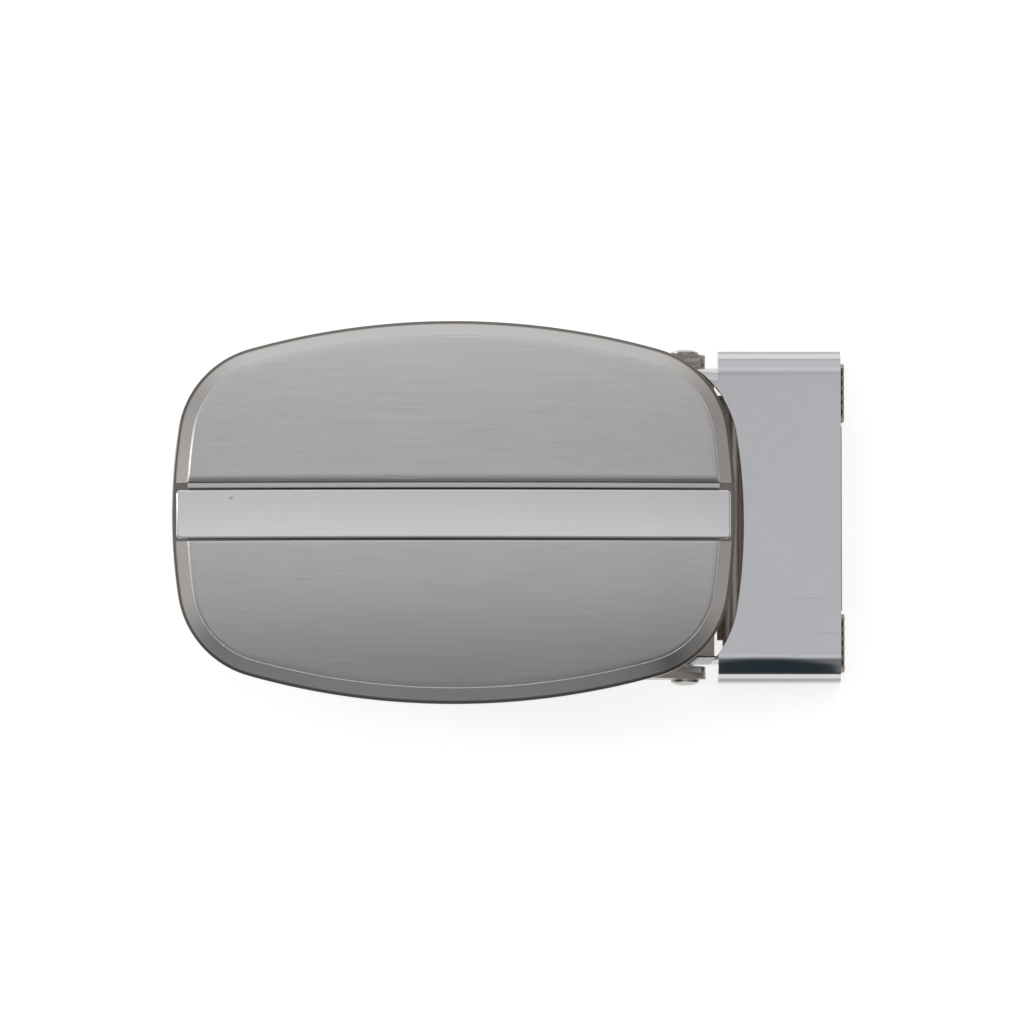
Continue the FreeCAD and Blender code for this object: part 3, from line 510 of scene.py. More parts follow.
def place_group(tree, group, point, **values):
    """Puts a node group into a material, reading the given point."""
    node = tree.nodes.new("ShaderNodeGroup")
    node.node_tree = group
    tree.links.new(point, node.inputs["Point"])
    for name, value in values.items():
        node.inputs[name.replace("_", " ")].default_value = value
    return node.outputs


def mix_colour(tree, share, low, high):
    """Goes from one colour to another as share goes from 0 to 1."""
    node = wire(tree, "ShaderNodeMix", data_type="RGBA")
    tree.links.new(share, node.inputs["Factor"])
    for socket, value in ((node.inputs[6], low), (node.inputs[7], high)):
        if isinstance(value, bpy.types.NodeSocket):
            tree.links.new(value, socket)
        else:
            socket.default_value = (*value, 1)
    return node.outputs[2]


def shaded(tone, factor):
    """A darker or brighter tone, at most white."""
    return tuple(min(1, part * factor) for part in tone)


def metal(name, tone, rough, brushed, fineness, edge_wear_and_highlight, pits, turn=(0, 0, 0)):
    """A plated metal; turn sets the direction of its brush lines, which else run along X."""
    material = bpy.data.materials.new(name)
    material.use_nodes = True
    tree = material.node_tree
    shader = tree.nodes["Principled BSDF"]
    shader.inputs["Metallic"].default_value = 1.0
    point = wire(tree, "ShaderNodeTexCoord").outputs["Object"]
    turned = wire(tree, "ShaderNodeMapping", {"Vector": point, "Rotation": turn}).outputs["Vector"]
    lines = place_group(tree, brush_group, turned, Fineness=fineness)["Lines"]
    marks = place_group(tree, marks_group, turned, Pit_Share=pits)
    edges = place_group(tree, edge_group, point)
    # colour: the tone, varied by the lines, darker in corners and pits, brighter on edges as wear and
    # painted highlight
    dark = shaded(tone, 1 - DARK_LINES * brushed)
    light = shaded(tone, 1 + LIGHT_LINES * brushed)
    colour = ramp(tree, lines, [(0.25, dark), (0.5, tone), (0.75, light)])
    dimmed = shaded(tone, DARKENED_TONE)
    # inner corners are made darker by the corner share
    colour = mix_colour(tree, maths(tree, "MULTIPLY", edges["Corner"], CORNER_DARKENING), colour, dimmed)
    colour = mix_colour(tree, maths(tree, "MULTIPLY", marks["Pit"], PIT_GRIME), colour, dimmed)
    # painted highlight: outer edges are brightened, partly as rubbing wear and partly as a painted
    # highlight
    bright = shaded(tone, RUBBED_AND_HIGHLIT_TONE)
    colour = mix_colour(tree, maths(tree, "MULTIPLY", edges["Edge"], edge_wear_and_highlight), colour, bright)
    tree.links.new(colour, shader.inputs["Base Color"])
    # roughness: smudges dull the polish, and lines and scratches roughen it
    dulled = maths(tree, "MULTIPLY_ADD", marks["Smudge"], SMUDGE_DULLS, rough - SMUDGE_DULLS / 2)
    streaked = maths(tree, "MULTIPLY_ADD", lines, BRUSH_DULLS * brushed, dulled)
    scored = maths(tree, "MULTIPLY_ADD", marks["Scratch"], SCRATCH_DULLS, streaked)
    tree.links.new(scored, shader.inputs["Roughness"])
    # relief: the brush lines, with scratches and pits let into them
    relief = maths(tree, "MULTIPLY", lines, BRUSH_DEPTH * brushed)
    relief = maths(tree, "MULTIPLY_ADD", marks["Scratch"], -SCRATCH_DEPTH, relief)
    relief = maths(tree, "MULTIPLY_ADD", marks["Pit"], -PIT_DEPTH, relief)
    bump = wire(tree, "ShaderNodeBump", {"Height": relief, "Distance": MM, "Strength": 1.0})
    tree.links.new(bump.outputs["Normal"], shader.inputs["Normal"])
    return material


print(f"a pit is {PIT_DEPTH / BRUSH_DEPTH:.1f} times as deep as full brushing")

# %% [markdown]
# ## The finishes
# The face is a brushed zinc casting under clear nickel, the bar and the clip are polished nickel plate,
# and the hidden steel parts are duller, as stamped and tumbled parts are.

# %% Finishes
ACROSS = (0, 0, math.pi / 2)

# tone, roughness, brushing, fineness of the lines, edge wear and painted highlight, share of pits, turn
# of the lines
PLATINGS = {
    "face_cast": ((0.60, 0.592, 0.60), 0.33, 0.22, 1.0, 0.15, 0.010),
    "bar_polish": ((0.74, 0.74, 0.755), 0.17, 0.04, 1.3, 0.5, 0.03),
    "frame_sheet": ((0.43, 0.415, 0.395), 0.30, 0.2, 1.5, 0.5, 0.03),
    "pin_steel": ((0.56, 0.555, 0.55), 0.18, 0.25, 2.0, 0.5, 0.02, ACROSS),
    "rivet_steel": ((0.50, 0.485, 0.465), 0.22, 0.1, 2.0, 0.6, 0.03),
    "roller_steel": ((0.60, 0.60, 0.60), 0.16, 0.3, 2.0, 0.6, 0.03, ACROSS),
    "pawl_steel": ((0.46, 0.455, 0.44), 0.34, 0.4, 1.2, 0.7, 0.06),
    "spring_steel": ((0.42, 0.41, 0.40), 0.24, 0.1, 2.0, 0.3, 0.01),
    "lever_sheet": ((0.60, 0.595, 0.58), 0.22, 0.3, 1.5, 0.7, 0.04),
    "screw_steel": ((0.50, 0.50, 0.49), 0.24, 0.2, 2.0, 0.8, 0.03),
    "clip_polish": ((0.592, 0.594, 0.612), 0.09, 0.0, 1.0, 0.25, 0.012),
    # painted light: the jaw's brown is partly its own and partly raised in tone against the shade under
    # the face
    "jaw_sheet": ((0.58, 0.51, 0.45), 0.42, 0.2, 0.6, 0.6, 0.04),
}
finishes = {name: metal(name, *plating) for name, plating in PLATINGS.items()}
print(len(finishes), "finishes made")

# %% [markdown]
# Some pieces aren't the same all over: some places have a finish of their own, and some get painted
# shade or painted light. Such places could be painted by hand as masks. Here each of them can be told
# by where it lies, so the helpers below open a finish again and change it between two coordinates.

# %% Second coats
def reopen(slot):
    """A finish's node tree, and the X, Y and Z of the point that is shaded."""
    tree = finishes[slot].node_tree
    point = wire(tree, "ShaderNodeTexCoord").outputs["Object"]
    return tree, wire(tree, "ShaderNodeSeparateXYZ", {"Vector": point}).outputs


def share_past(tree, coordinate, start, stop):
    """Goes from 0 to 1 as a coordinate goes from start to stop, in millimetres."""
    return between(tree, coordinate, start * MM, stop * MM)


def recolour(tree, share, colour):
    """Lays a colour over the finish by the given share."""
    socket = tree.nodes["Principled BSDF"].inputs["Base Color"]
    tree.links.new(mix_colour(tree, share, socket.links[0].from_socket, colour), socket)


def roughen(tree, share, amount):
    """Adds to the finish's roughness by the given share."""
    socket = tree.nodes["Principled BSDF"].inputs["Roughness"]
    rough = socket.links[0].from_socket
    tree.links.new(maths(tree, "MULTIPLY_ADD", share, amount, rough), socket)


print("a second coat can be laid on", len(finishes), "finishes")

# %% [markdown]
# The face carries three finishes in one casting. The raised panels are brushed lengthwise, the bevelled
# rim round them is smoother, and the back is dull, as it came out of the mould, and painted dark brown
# as the shade under the casting. Each lies at its own height. A thin band on the rounded outer edge is
# painted dark, a painted shade that draws the face's outline.

# %% Face finish
PANEL_TO_RIM = (12.12, 12.02)
RIM_TONES = ((0.58, 0.57, 0.555), (0.66, 0.65, 0.635))
RIM_SMOOTHER = 0.10
RIM_TO_EDGE = (11.575, 11.535)
WALL_TO_EDGE = (11.25, 11.32)
OUTLINE_SHADE_TONE = (0.20, 0.185, 0.17)
WALL_TO_BACK = (10.70, 10.65)
BACK_SHADE_TONE = (0.22, 0.20, 0.175)
BACK_ROUGHER = 0.35

tree, place = reopen("face_cast")
height = place["Z"]
on_rim = share_past(tree, height, *PANEL_TO_RIM)
point = wire(tree, "ShaderNodeTexCoord").outputs["Object"]
smudge = place_group(tree, marks_group, point)["Smudge"]
recolour(tree, on_rim, mix_colour(tree, smudge, *RIM_TONES))
roughen(tree, on_rim, -RIM_SMOOTHER)
below_rim = share_past(tree, height, *RIM_TO_EDGE)
above_wall = share_past(tree, height, *WALL_TO_EDGE)
# painted shade: a dark band on the rounded outer edge draws the face's outline
recolour(tree, maths(tree, "MULTIPLY", below_rim, above_wall), OUTLINE_SHADE_TONE)
on_back = share_past(tree, height, *WALL_TO_BACK)
# painted shade: the back is darkened as the shade under the casting
recolour(tree, on_back, BACK_SHADE_TONE)
roughen(tree, on_back, BACK_ROUGHER)
print("face finish:", len(tree.nodes), "nodes")

# %% [markdown]
# The clip is polished outside, but the floor of its neck is tan and rougher. The floor is told apart by
# its height and by its place left of the cover. The clip's side walls are painted darker than the top,
# a painted shade that draws a dark outline along the clip.

# %% Clip finish
WALL_TO_FLOOR = (1.30, 1.25)
COVER_TO_NECK = (21.45, 21.35)
FLOOR_TONE = (0.74, 0.685, 0.62)
FLOOR_ROUGHER = 0.35
TOP_TO_SIDE = (16.75, 16.85)
SIDE_SHADE_TONE = (0.34, 0.335, 0.325)

tree, place = reopen("clip_polish")
low_down = share_past(tree, place["Z"], *WALL_TO_FLOOR)
in_neck = share_past(tree, place["X"], *COVER_TO_NECK)
on_floor = maths(tree, "MULTIPLY", low_down, in_neck)
recolour(tree, on_floor, FLOOR_TONE)
roughen(tree, on_floor, FLOOR_ROUGHER)
from_middle = maths(tree, "ABSOLUTE", place["Y"])
# painted shade: the side walls are darkened to draw a dark outline along the clip
recolour(tree, share_past(tree, from_middle, *TOP_TO_SIDE), SIDE_SHADE_TONE)
print("clip finish:", len(tree.nodes), "nodes")

# %% [markdown]
# The flap's barrel keeps the bright brown of its finish, partly its own colour and partly painted light
# against the shade under the face. The rest, down to the teeth, is darker.

# %% Flap finish
BARREL_TO_DARKER = (23.9, 24.5)
FLAP_DARKER_TONE = (0.34, 0.30, 0.265)

tree, place = reopen("jaw_sheet")
recolour(tree, share_past(tree, place["X"], *BARREL_TO_DARKER), FLAP_DARKER_TONE)
print("flap finish:", len(tree.nodes), "nodes")

# %% [markdown]
# ## Grids, loops and patches
# The face and the bar are made of three kinds of surface: strips between two outlines, walls, and
# crowned tops. All three are grids of four-sided faces, laid row by row. A crowned top has four curved
# borders, and the Coons rule fills it: it slides each border towards its opposite and takes away what
# was counted twice.

# %% Grid helpers
SEAM_GAP = 1e-4
SLIVER = 1e-5
SHARP_EDGE = math.radians(32)


def lay_grid(bm, rows, closed=False):
    """Quads between neighbouring rows of points; closed joins the ends of every row."""
    made = [[bm.verts.new(point) for point in row] for row in rows]
    for lower, upper in zip(made, made[1:]):
        count = len(lower)
        for i in range(count if closed else count - 1):
            j = (i + 1) % count
            bm.faces.new((lower[i], lower[j], upper[j], upper[i]))


def coons(bottom, right, top, left):
    """A grid of flat points inside four borders; bottom and top run along, left and right run up."""
    rows = []
    up = len(left) - 1
    along = len(bottom) - 1
    for j in range(up + 1):
        v = j / up
        row = []
        for i in range(along + 1):
            u = i / along
            point = (1 - v) * bottom[i] + v * top[i] + (1 - u) * left[j] + u * right[j]
            point -= (1 - u) * ((1 - v) * bottom[0] + v * top[0])
            point -= u * ((1 - v) * bottom[-1] + v * top[-1])
            row.append(point)
        rows.append(row)
    return rows


def as_piece(bm, name, body, slot, node=None):
    """Closes the seams, turns all faces outwards, and puts the mesh in place of a CAD node."""
    bmesh.ops.remove_doubles(bm, verts=bm.verts, dist=SEAM_GAP)
    bmesh.ops.dissolve_degenerate(bm, edges=bm.edges, dist=SLIVER)
    bmesh.ops.recalc_face_normals(bm, faces=bm.faces)
    bmesh.ops.scale(bm, vec=(MM, MM, MM), verts=bm.verts)
    open_edges = sum(not edge.is_manifold for edge in bm.edges)
    mesh = bpy.data.meshes.new(name)
    bm.to_mesh(mesh)
    bm.free()
    mesh.shade_smooth()
    mesh.set_sharp_from_angle(angle=SHARP_EDGE)
    mesh.materials.append(finishes[slot])
    piece = bpy.data.objects.new(name, mesh)
    scene.collection.objects.link(piece)
    if node:
        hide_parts(node)
    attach(piece, body)
    print(name, len(mesh.polygons), "faces,", open_edges, "open edges")


print(f"seams up to {SEAM_GAP} mm wide are closed")

# %% [markdown]
# ## The barrel outline
# The face's outline is eight arcs that run smoothly into each other: a shallow one at each end and
# side, and a tighter one at each corner. Growing such an outline keeps the arcs' centres and angles
# and only changes their radii, so points on two of them pair up without any search. Only the upper
# half is worked out, from the channel's edge on the right to its edge on the left.

# %% Outline
HALF_LENGTH = 28.9
HALF_WIDTH = 19.692
END_ARC = 57.7
CORNER_ARC = 10.06
SIDE_ARC = 77.6
ARC_STEPS = {"end": 12, "corner": 20, "side": 64}

end_x = HALF_LENGTH - END_ARC
side_y = HALF_WIDTH - SIDE_ARC
to_end = END_ARC - CORNER_ARC
to_side = SIDE_ARC - CORNER_ARC
span = math.hypot(end_x, side_y)
along = (to_end**2 - to_side**2 + span**2) / (2 * span)
off = math.sqrt(to_end**2 - along**2)
# the corner arc touches both the end arc and the side arc from inside, which fixes its centre
corner_x = end_x - along * end_x / span - off * side_y / span
corner_y = along * side_y / span - off * end_x / span
end_turn = math.atan2(corner_y, corner_x - end_x)
side_turn = math.atan2(corner_y - side_y, corner_x)


def arc(x, y, radius, start, stop, steps):
    """Points on an arc, without its last one."""
    turns = [start + (stop - start) * i / steps for i in range(steps)]
    return [Vector((x + radius * math.cos(t), y + radius * math.sin(t))) for t in turns]


def half_outline(grow, edge_y):
    """The grown outline's upper half, from height edge_y on the right to edge_y on the left."""
    start = math.asin(edge_y / (END_ARC + grow))
    quarter = arc(end_x, 0, END_ARC + grow, start, end_turn, ARC_STEPS["end"])
    quarter += arc(corner_x, corner_y, CORNER_ARC + grow, end_turn, side_turn, ARC_STEPS["corner"])
    quarter += arc(0, side_y, SIDE_ARC + grow, side_turn, math.pi / 2, ARC_STEPS["side"] // 2)
    top = Vector((0, HALF_WIDTH + grow))
    mirrored = [Vector((-p.x, p.y)) for p in reversed(quarter)]
    return quarter + [top] + mirrored


print("half outline of", len(half_outline(0, 1)), "points")
print(f"corner arcs centred at {corner_x:.2f}, {corner_y:.2f} mm")

# %% [markdown]
# ## The face
# The casting is a bevelled rim with two pillowed panels on it, and a channel between them for the bar.
# It could be carved out of one block with booleans, but those leave long thin faces that spoil the
# reflection. Rings and patches laid along the outline keep the crown as smooth as the real one.

# %% Face sizes
CROWN_TOP = 14.6
CROWN_ALONG = 300
CROWN_ACROSS = 75
CHANNEL_FLOOR = 11.5
CHANNEL_HALF = 3.0
PANEL_INSET = 1.55
PANEL_ROLL = 0.3
EASE_WIDTH = 0.9
UPPER_EASE = 0.20
RIM_EDGE = 0.15
RIM_SLOPE = 0.6 / 1.95
RIM_INSETS = [RIM_EDGE, 0.6, 1.1, PANEL_INSET]
LOWER_ROUND = 0.1

underside = box_mm("face_plate")[0].z
bar_low, bar_high = box_mm("centre_bar")
middle_x = (bar_low.x + bar_high.x) / 2


def crown(point, ease=0.0):
    """Height of a panel's crowned surface; ease is how far it sinks towards the channel."""
    near = max(0.0, 1 - (point.y - CHANNEL_HALF) / EASE_WIDTH)
    drop = point.x**2 / (2 * CROWN_ALONG) + point.y**2 / (2 * CROWN_ACROSS) + ease * near**2
    return CROWN_TOP - drop


def bevel_height(inset):
    """Height of the rim's bevel at a distance inside the outline."""
    return CHANNEL_FLOOR + (inset - RIM_EDGE) * RIM_SLOPE


def raised(point, z):
    """A flat point of the outline, moved to its place on the buckle at height z."""
    return Vector((point.x + middle_x, point.y, z))


def quarter_turns(steps):
    """Angles from 0 to a quarter turn, in even steps."""
    return [math.pi / 2 * i / steps for i in range(steps + 1)]


print(f"face centred at x {middle_x:.2f} mm, {CROWN_TOP - underside:.1f} mm thick")

# %% [markdown]
# A panel's edge rolls off in a quarter round that follows the crown. Its rings are insets of the
# outline, each with its own drop below the crown, and the Coons patch fills what the rings leave open.

# %% Panels
ROLL_STEPS = 6

side_points = ARC_STEPS["end"] + ARC_STEPS["corner"] // 2


def panel_loop(inset, edge_y):
    """A closed loop round one panel: along the outline, then back beside the channel."""
    outline = half_outline(-inset, edge_y)
    left, right = outline[-1], outline[0]
    count = len(outline) - 1 - 2 * side_points
    floor_line = [left.lerp(right, i / count) for i in range(1, count)]
    return outline, floor_line


def lay_panel(bm, ease):
    """One panel of the upper half: crowned top, rolled edge and walls."""
    outline, floor_line = panel_loop(PANEL_INSET + PANEL_ROLL, CHANNEL_HALF + PANEL_ROLL)
    last = len(outline) - 1
    top = list(reversed(outline[side_points : last - side_points + 1]))
    right = outline[: side_points + 1]
    left = list(reversed(outline[last - side_points :]))
    bottom = [outline[-1]] + floor_line + [outline[0]]
    patch = coons(bottom, right, top, left)
    lay_grid(bm, [[raised(p, crown(p, ease)) for p in row] for row in patch])
    rings = []
    for turn in quarter_turns(ROLL_STEPS):
        inset = PANEL_ROLL * (1 - math.sin(turn))
        drop = PANEL_ROLL * (1 - math.cos(turn))
        outline, floor_line = panel_loop(PANEL_INSET + inset, CHANNEL_HALF + inset)
        rings.append([raised(p, crown(p, ease) - drop) for p in outline + floor_line])
    foot = bevel_height(PANEL_INSET)
    rings.append([Vector((p.x, p.y, foot)) for p in rings[-1]])
    lay_grid(bm, rings, closed=True)
    # beside the channel the wall goes on down to the channel's floor
    wall = rings[-1][len(outline) - 1 :] + rings[-1][:1]
    lay_grid(bm, [wall, [Vector((p.x, p.y, CHANNEL_FLOOR)) for p in wall]])


panel_edge = crown(Vector((0, CHANNEL_HALF)))
print(f"the panels stand {panel_edge - CHANNEL_FLOOR:.1f} mm above the channel's floor")

# %% [markdown]
# The bevel runs from the panel down to the outline. Below it come the rounded outer edge, the outer
# wall and the flat back. The skirt is one stack of closed rings round the whole outline.

# %% Rim and skirt
FLOOR_STEPS = 8
SKIRT_STEPS = 4


def lay_rim(bm):
    """The bevel round one panel, and the small walls where the channel cuts through it."""
    rows = []
    for inset in RIM_INSETS:
        outline = half_outline(-inset, CHANNEL_HALF)
        rows.append([raised(p, bevel_height(inset)) for p in outline])
    lay_grid(bm, rows)
    for end in (0, -1):
        top_line = [row[end] for row in rows]
        lay_grid(bm, [top_line, [Vector((p.x, p.y, CHANNEL_FLOOR)) for p in top_line]])


def full_outline(grow):
    """The whole outline: upper half, left end, lower half and right end."""
    upper = half_outline(grow, CHANNEL_HALF)
    start = math.asin(CHANNEL_HALF / (END_ARC + grow))
    right = arc(end_x, 0, END_ARC + grow, -start, start, FLOOR_STEPS)[1:]
    left = [Vector((-p.x, -p.y)) for p in right]
    lower = [Vector((-p.x, -p.y)) for p in upper]
    return upper + left + lower + right


def lay_skirt(bm):
    """The rounded outer edge, the outer wall and the flat underside."""
    rings = []
    for turn in quarter_turns(SKIRT_STEPS):
        inset = RIM_EDGE * (1 - math.sin(turn))
        z = CHANNEL_FLOOR - RIM_EDGE * (1 - math.cos(turn))
        rings.append([raised(p, z) for p in full_outline(-inset)])
    for turn in quarter_turns(SKIRT_STEPS):
        inset = LOWER_ROUND * (1 - math.cos(turn))
        z = underside + LOWER_ROUND * (1 - math.sin(turn))
        rings.append([raised(p, z) for p in full_outline(-inset)])
    lay_grid(bm, rings, closed=True)
    bm.faces.new([bm.verts.new(p) for p in rings[-1]])


print("skirt rings of", len(full_outline(0)), "points")

# %% [markdown]
# The channel's floor has to meet the panels' walls, the rim's cut ends and the rounded ends of the
# skirt point by point, or the mesh would have cracks. Its rows are as long as the outline allows at
# their height, and its first and last row take the walls' own points.

# %% Channel floor
def lay_channel(bm):
    """The flat floor of the channel, with a point for every point on its walls and ends."""
    outline, floor_line = panel_loop(PANEL_INSET, CHANNEL_HALF)
    ends = [half_outline(-inset, CHANNEL_HALF)[-1] for inset in RIM_INSETS[:-1]]
    line = ends + [outline[-1]] + floor_line + [outline[0]]
    line += [Vector((-p.x, p.y)) for p in reversed(ends)]
    radius = END_ARC - RIM_EDGE
    half_turn = math.asin(CHANNEL_HALF / radius)
    rows = []
    for j in range(FLOOR_STEPS + 1):
        turn = -half_turn + 2 * half_turn * j / FLOOR_STEPS
        y = radius * math.sin(turn)
        reach = end_x + radius * math.cos(turn)
        stretched = [reach / line[-1].x * p.x for p in line]
        rows.append([raised(Vector((x, y)), CHANNEL_FLOOR) for x in stretched])
    for row in (rows[0], rows[-1]):
        for point, p in zip(row, line):
            point.x = p.x + middle_x
    lay_grid(bm, rows)


print(f"channel {2 * CHANNEL_HALF:.1f} mm wide")

# %% [markdown]
# The lower panel is the upper one turned over. It is laid first and mirrored, and then the upper panel
# follows, whose edge beside the channel is eased.

# %% Make the face
bm = bmesh.new()
lay_panel(bm, 0.0)
lay_rim(bm)
for vert in bm.verts:
    vert.co.y = -vert.co.y
lay_panel(bm, UPPER_EASE)
lay_rim(bm)
lay_skirt(bm)
lay_channel(bm)
as_piece(bm, "face_shell", "buckle", "face_cast", "face_plate")

# %% [markdown]
# ## The centre bar
# A polished strip that fills most of the channel. It has the face's long curve, a gentler curve across,
# and small rounds on its long edges. On the real buckle two pegs through the face hold it. The face
# hides them, so the strip is drawn without them, as rings round a Coons patch like the panels.

# %% Bar outline
BAR_TOP = 14.35
BAR_ACROSS = 40
BAR_CORNER = 0.45
BAR_ROUND = 0.2
LEAST_CORNER = 0.05
LONG_STEPS = 90
SHORT_STEPS = 10
CORNER_STEPS = 6
BAR_ROUND_STEPS = 5

bar_half = (bar_high.y - bar_low.y) / 2
bar_shift = (bar_high.y + bar_low.y) / 2
bar_reach = (bar_high.x - bar_low.x) / 2


def bar_point(point, drop=0.0):
    """A point of the bar's crowned top, lowered by drop."""
    y = point.y + bar_shift
    z = BAR_TOP - point.x**2 / (2 * CROWN_ALONG) - y**2 / (2 * BAR_ACROSS)
    return Vector((point.x + middle_x, y, z - drop))


def bar_quarter(inset):
    """The strip's outline from the middle of its right end to the middle of its upper side."""
    reach, half = bar_reach - inset, bar_half - inset
    corner = max(BAR_CORNER - inset, LEAST_CORNER)
    end = [Vector((reach, (half - corner) * i / SHORT_STEPS)) for i in range(SHORT_STEPS)]
    turn = arc(reach - corner, half - corner, corner, 0, math.pi / 2, CORNER_STEPS)
    long = [Vector(((reach - corner) * (1 - i / LONG_STEPS), half)) for i in range(LONG_STEPS + 1)]
    return end + turn + long


def bar_loop(inset):
    """The strip's whole outline, from its quarter mirrored twice."""
    quarter = bar_quarter(inset)
    upper = quarter + [Vector((-p.x, p.y)) for p in reversed(quarter[:-1])]
    return upper + [Vector((p.x, -p.y)) for p in reversed(upper[1:-1])]


print(f"bar {2 * bar_reach:.1f} x {2 * bar_half:.1f} mm, {bar_shift:+.1f} mm off the middle")

# %% Make the bar
bm = bmesh.new()
rings = []
for turn in quarter_turns(BAR_ROUND_STEPS):
    drop = BAR_ROUND * (1 - math.cos(turn))
    loop = bar_loop(BAR_ROUND * (1 - math.sin(turn)))
    rings.append([bar_point(p, drop) for p in loop])
rings.append([Vector((p.x, p.y, CHANNEL_FLOOR)) for p in rings[-1]])
lay_grid(bm, rings, closed=True)
bm.faces.new([bm.verts.new(p) for p in rings[-1]])
inner = bar_quarter(BAR_ROUND)
half_corner = SHORT_STEPS + CORNER_STEPS // 2
right_up = inner[: half_corner + 1]
right = [Vector((p.x, -p.y)) for p in reversed(right_up[1:])] + right_up
top_right = inner[half_corner:]
top = [Vector((-p.x, p.y)) for p in top_right[:-1]] + list(reversed(top_right))
bottom = [Vector((p.x, -p.y)) for p in top]
left = [Vector((-p.x, p.y)) for p in right]
patch = coons(bottom, right, top, left)
lay_grid(bm, [[bar_point(p) for p in row] for row in patch])
as_piece(bm, "bar_strip", "buckle", "bar_polish", "centre_bar")

# %% [markdown]
# The channel is a little wider than the bar, and the bar is pushed against its lower wall. A thin
# packing strip fills what is left above the bar, so that only a fine dark seam shows beside it. It is a
# plain long bar with its upper edges rounded, and follows the crown a little below the panels. One
# cross-section is drawn and carried along the strip.

# %% Packing strip
STRIP_SINK = 0.62
STRIP_SEAM = 0.16
STRIP_ROUND = 0.12
STRIP_SIDE_GAP = 0.02
STRIP_END_GAP = 0.1
STRIP_STEPS = 90
STRIP_ROUND_STEPS = 4

strip_low = bar_high.y + STRIP_SEAM
strip_high = CHANNEL_HALF - STRIP_SIDE_GAP
strip_reach = HALF_LENGTH - PANEL_INSET - STRIP_END_GAP
section = []
for turn in quarter_turns(STRIP_ROUND_STEPS):
    rise = STRIP_ROUND * (math.sin(turn) - 1)
    section.append((strip_low + STRIP_ROUND * (1 - math.cos(turn)), rise))
section += [(strip_low + strip_high - y, rise) for y, rise in reversed(section)]
bm = bmesh.new()
rows = []
for i in range(STRIP_STEPS + 1):
    x = strip_reach * (2 * i / STRIP_STEPS - 1)
    top = CROWN_TOP - STRIP_SINK - x**2 / (2 * CROWN_ALONG)
    line = [Vector((x + middle_x, y, top + rise)) for y, rise in section]
    foot = [Vector((x + middle_x, y, CHANNEL_FLOOR)) for y in (strip_high, strip_low)]
    rows.append(line + foot)
lay_grid(bm, rows, closed=True)
for row in (rows[0], rows[-1]):
    bm.faces.new([bm.verts.new(p) for p in row])
as_piece(bm, "packing_strip", "buckle", "face_cast")

# %% [markdown]
# ## Pressed and turned parts
# Sheet that has been punched and tumbled never has a knife edge. Each of these parts is the CAD solid
# with its loose triangles joined up, its flat faces made whole again, and a narrow round put on every
# real edge with the Bevel modifier. The rounds are what catches the light. Wide flat faces beside them
# must stay flat to the eye: the Weighted Normal modifier sees to that, and on the square frame every
# face that looks along an axis is simply shaded flat.

# %% Rounded copies
LOOSE_GAP = 0.001
NEARLY_FLAT = math.radians(1)
REAL_EDGE = math.radians(40)
ALONG_AXIS = 0.9999
FLAT_WEIGHT = 100


def soften(name, node, width, segments=2, square=False):
    """A copy of a CAD node with narrow rounds on its edges, in the node's place."""
    source = frame["nodes"][node]
    body = source["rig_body"]
    slot = source.material_slots[0].name
    bm = bmesh.new()
    bm.from_mesh(source.data)
    bmesh.ops.remove_doubles(bm, verts=bm.verts, dist=LOOSE_GAP * MM)
    bmesh.ops.dissolve_limit(bm, angle_limit=NEARLY_FLAT, verts=bm.verts, edges=bm.edges)
    wide_faces = [face for face in bm.faces if len(face.verts) > 4]
    bmesh.ops.triangulate(bm, faces=wide_faces)
    plain = bpy.data.meshes.new(name)
    bm.to_mesh(plain)
    bm.free()
    draft = bpy.data.objects.new(name + "_draft", plain)
    scene.collection.objects.link(draft)
    plain.shade_smooth()
    rounding = draft.modifiers.new("edge_rounds", "BEVEL")
    rounding.width = width * MM
    rounding.segments = segments
    rounding.limit_method = "ANGLE"
    rounding.angle_limit = REAL_EDGE
    rounding.use_clamp_overlap = True
    if not square:
        steady = draft.modifiers.new("flat_faces_first", "WEIGHTED_NORMAL")
        steady.weight = FLAT_WEIGHT
    graph = bpy.context.evaluated_depsgraph_get()
    result = bpy.data.meshes.new_from_object(draft.evaluated_get(graph))
    bpy.data.objects.remove(draft)
    result.name = name
    if square:
        for face in result.polygons:
            face.use_smooth = max(abs(part) for part in face.normal) < ALONG_AXIS
    result.materials.clear()
    result.materials.append(finishes[slot])
    piece = bpy.data.objects.new(name, result)
    scene.collection.objects.link(piece)
    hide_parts(node)
    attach(piece, body)
    print(name, "from", len(source.data.polygons), "to", len(result.polygons), "faces")


soften("clip_sleeve", "clip_cover", 0.25, 3)
soften("bent_frame", "back_frame", 0.12, square=True)
soften("clip_flap", "clip_jaw", 0.07)
soften("toothed_pawl", "pawl", 0.06)
soften("thumb_lever", "release_lever", 0.12)
soften("slotted_screw", "lever_screw", 0.08)
soften("mouth_roller", "strap_roller", 0.15, 3)

# %% [markdown]
# ## Pawl spring
# The spring is wound from hard round wire: six turns round the shaft, one leg on the frame's floor and
# one under the pawl. A curve with a bevel could draw it, but rings laid along the coil need no
# conversion. When the pawl lifts, only the second leg goes with it, and the first turn winds up. So the
# wire is drawn as two pieces. The pawl's leg and the start of the coil turn with the pawl, and slide
# along the rest, which stays in the frame.

# %% Spring wire
COIL_RADIUS = 1.7
WIRE_RADIUS = 0.28
WIRE_SIDES = 16
COIL_PITCH = 0.75
COIL_ROLL = math.radians(45.2)
COIL_START = Vector((-9.0, 10.3, 3.4))


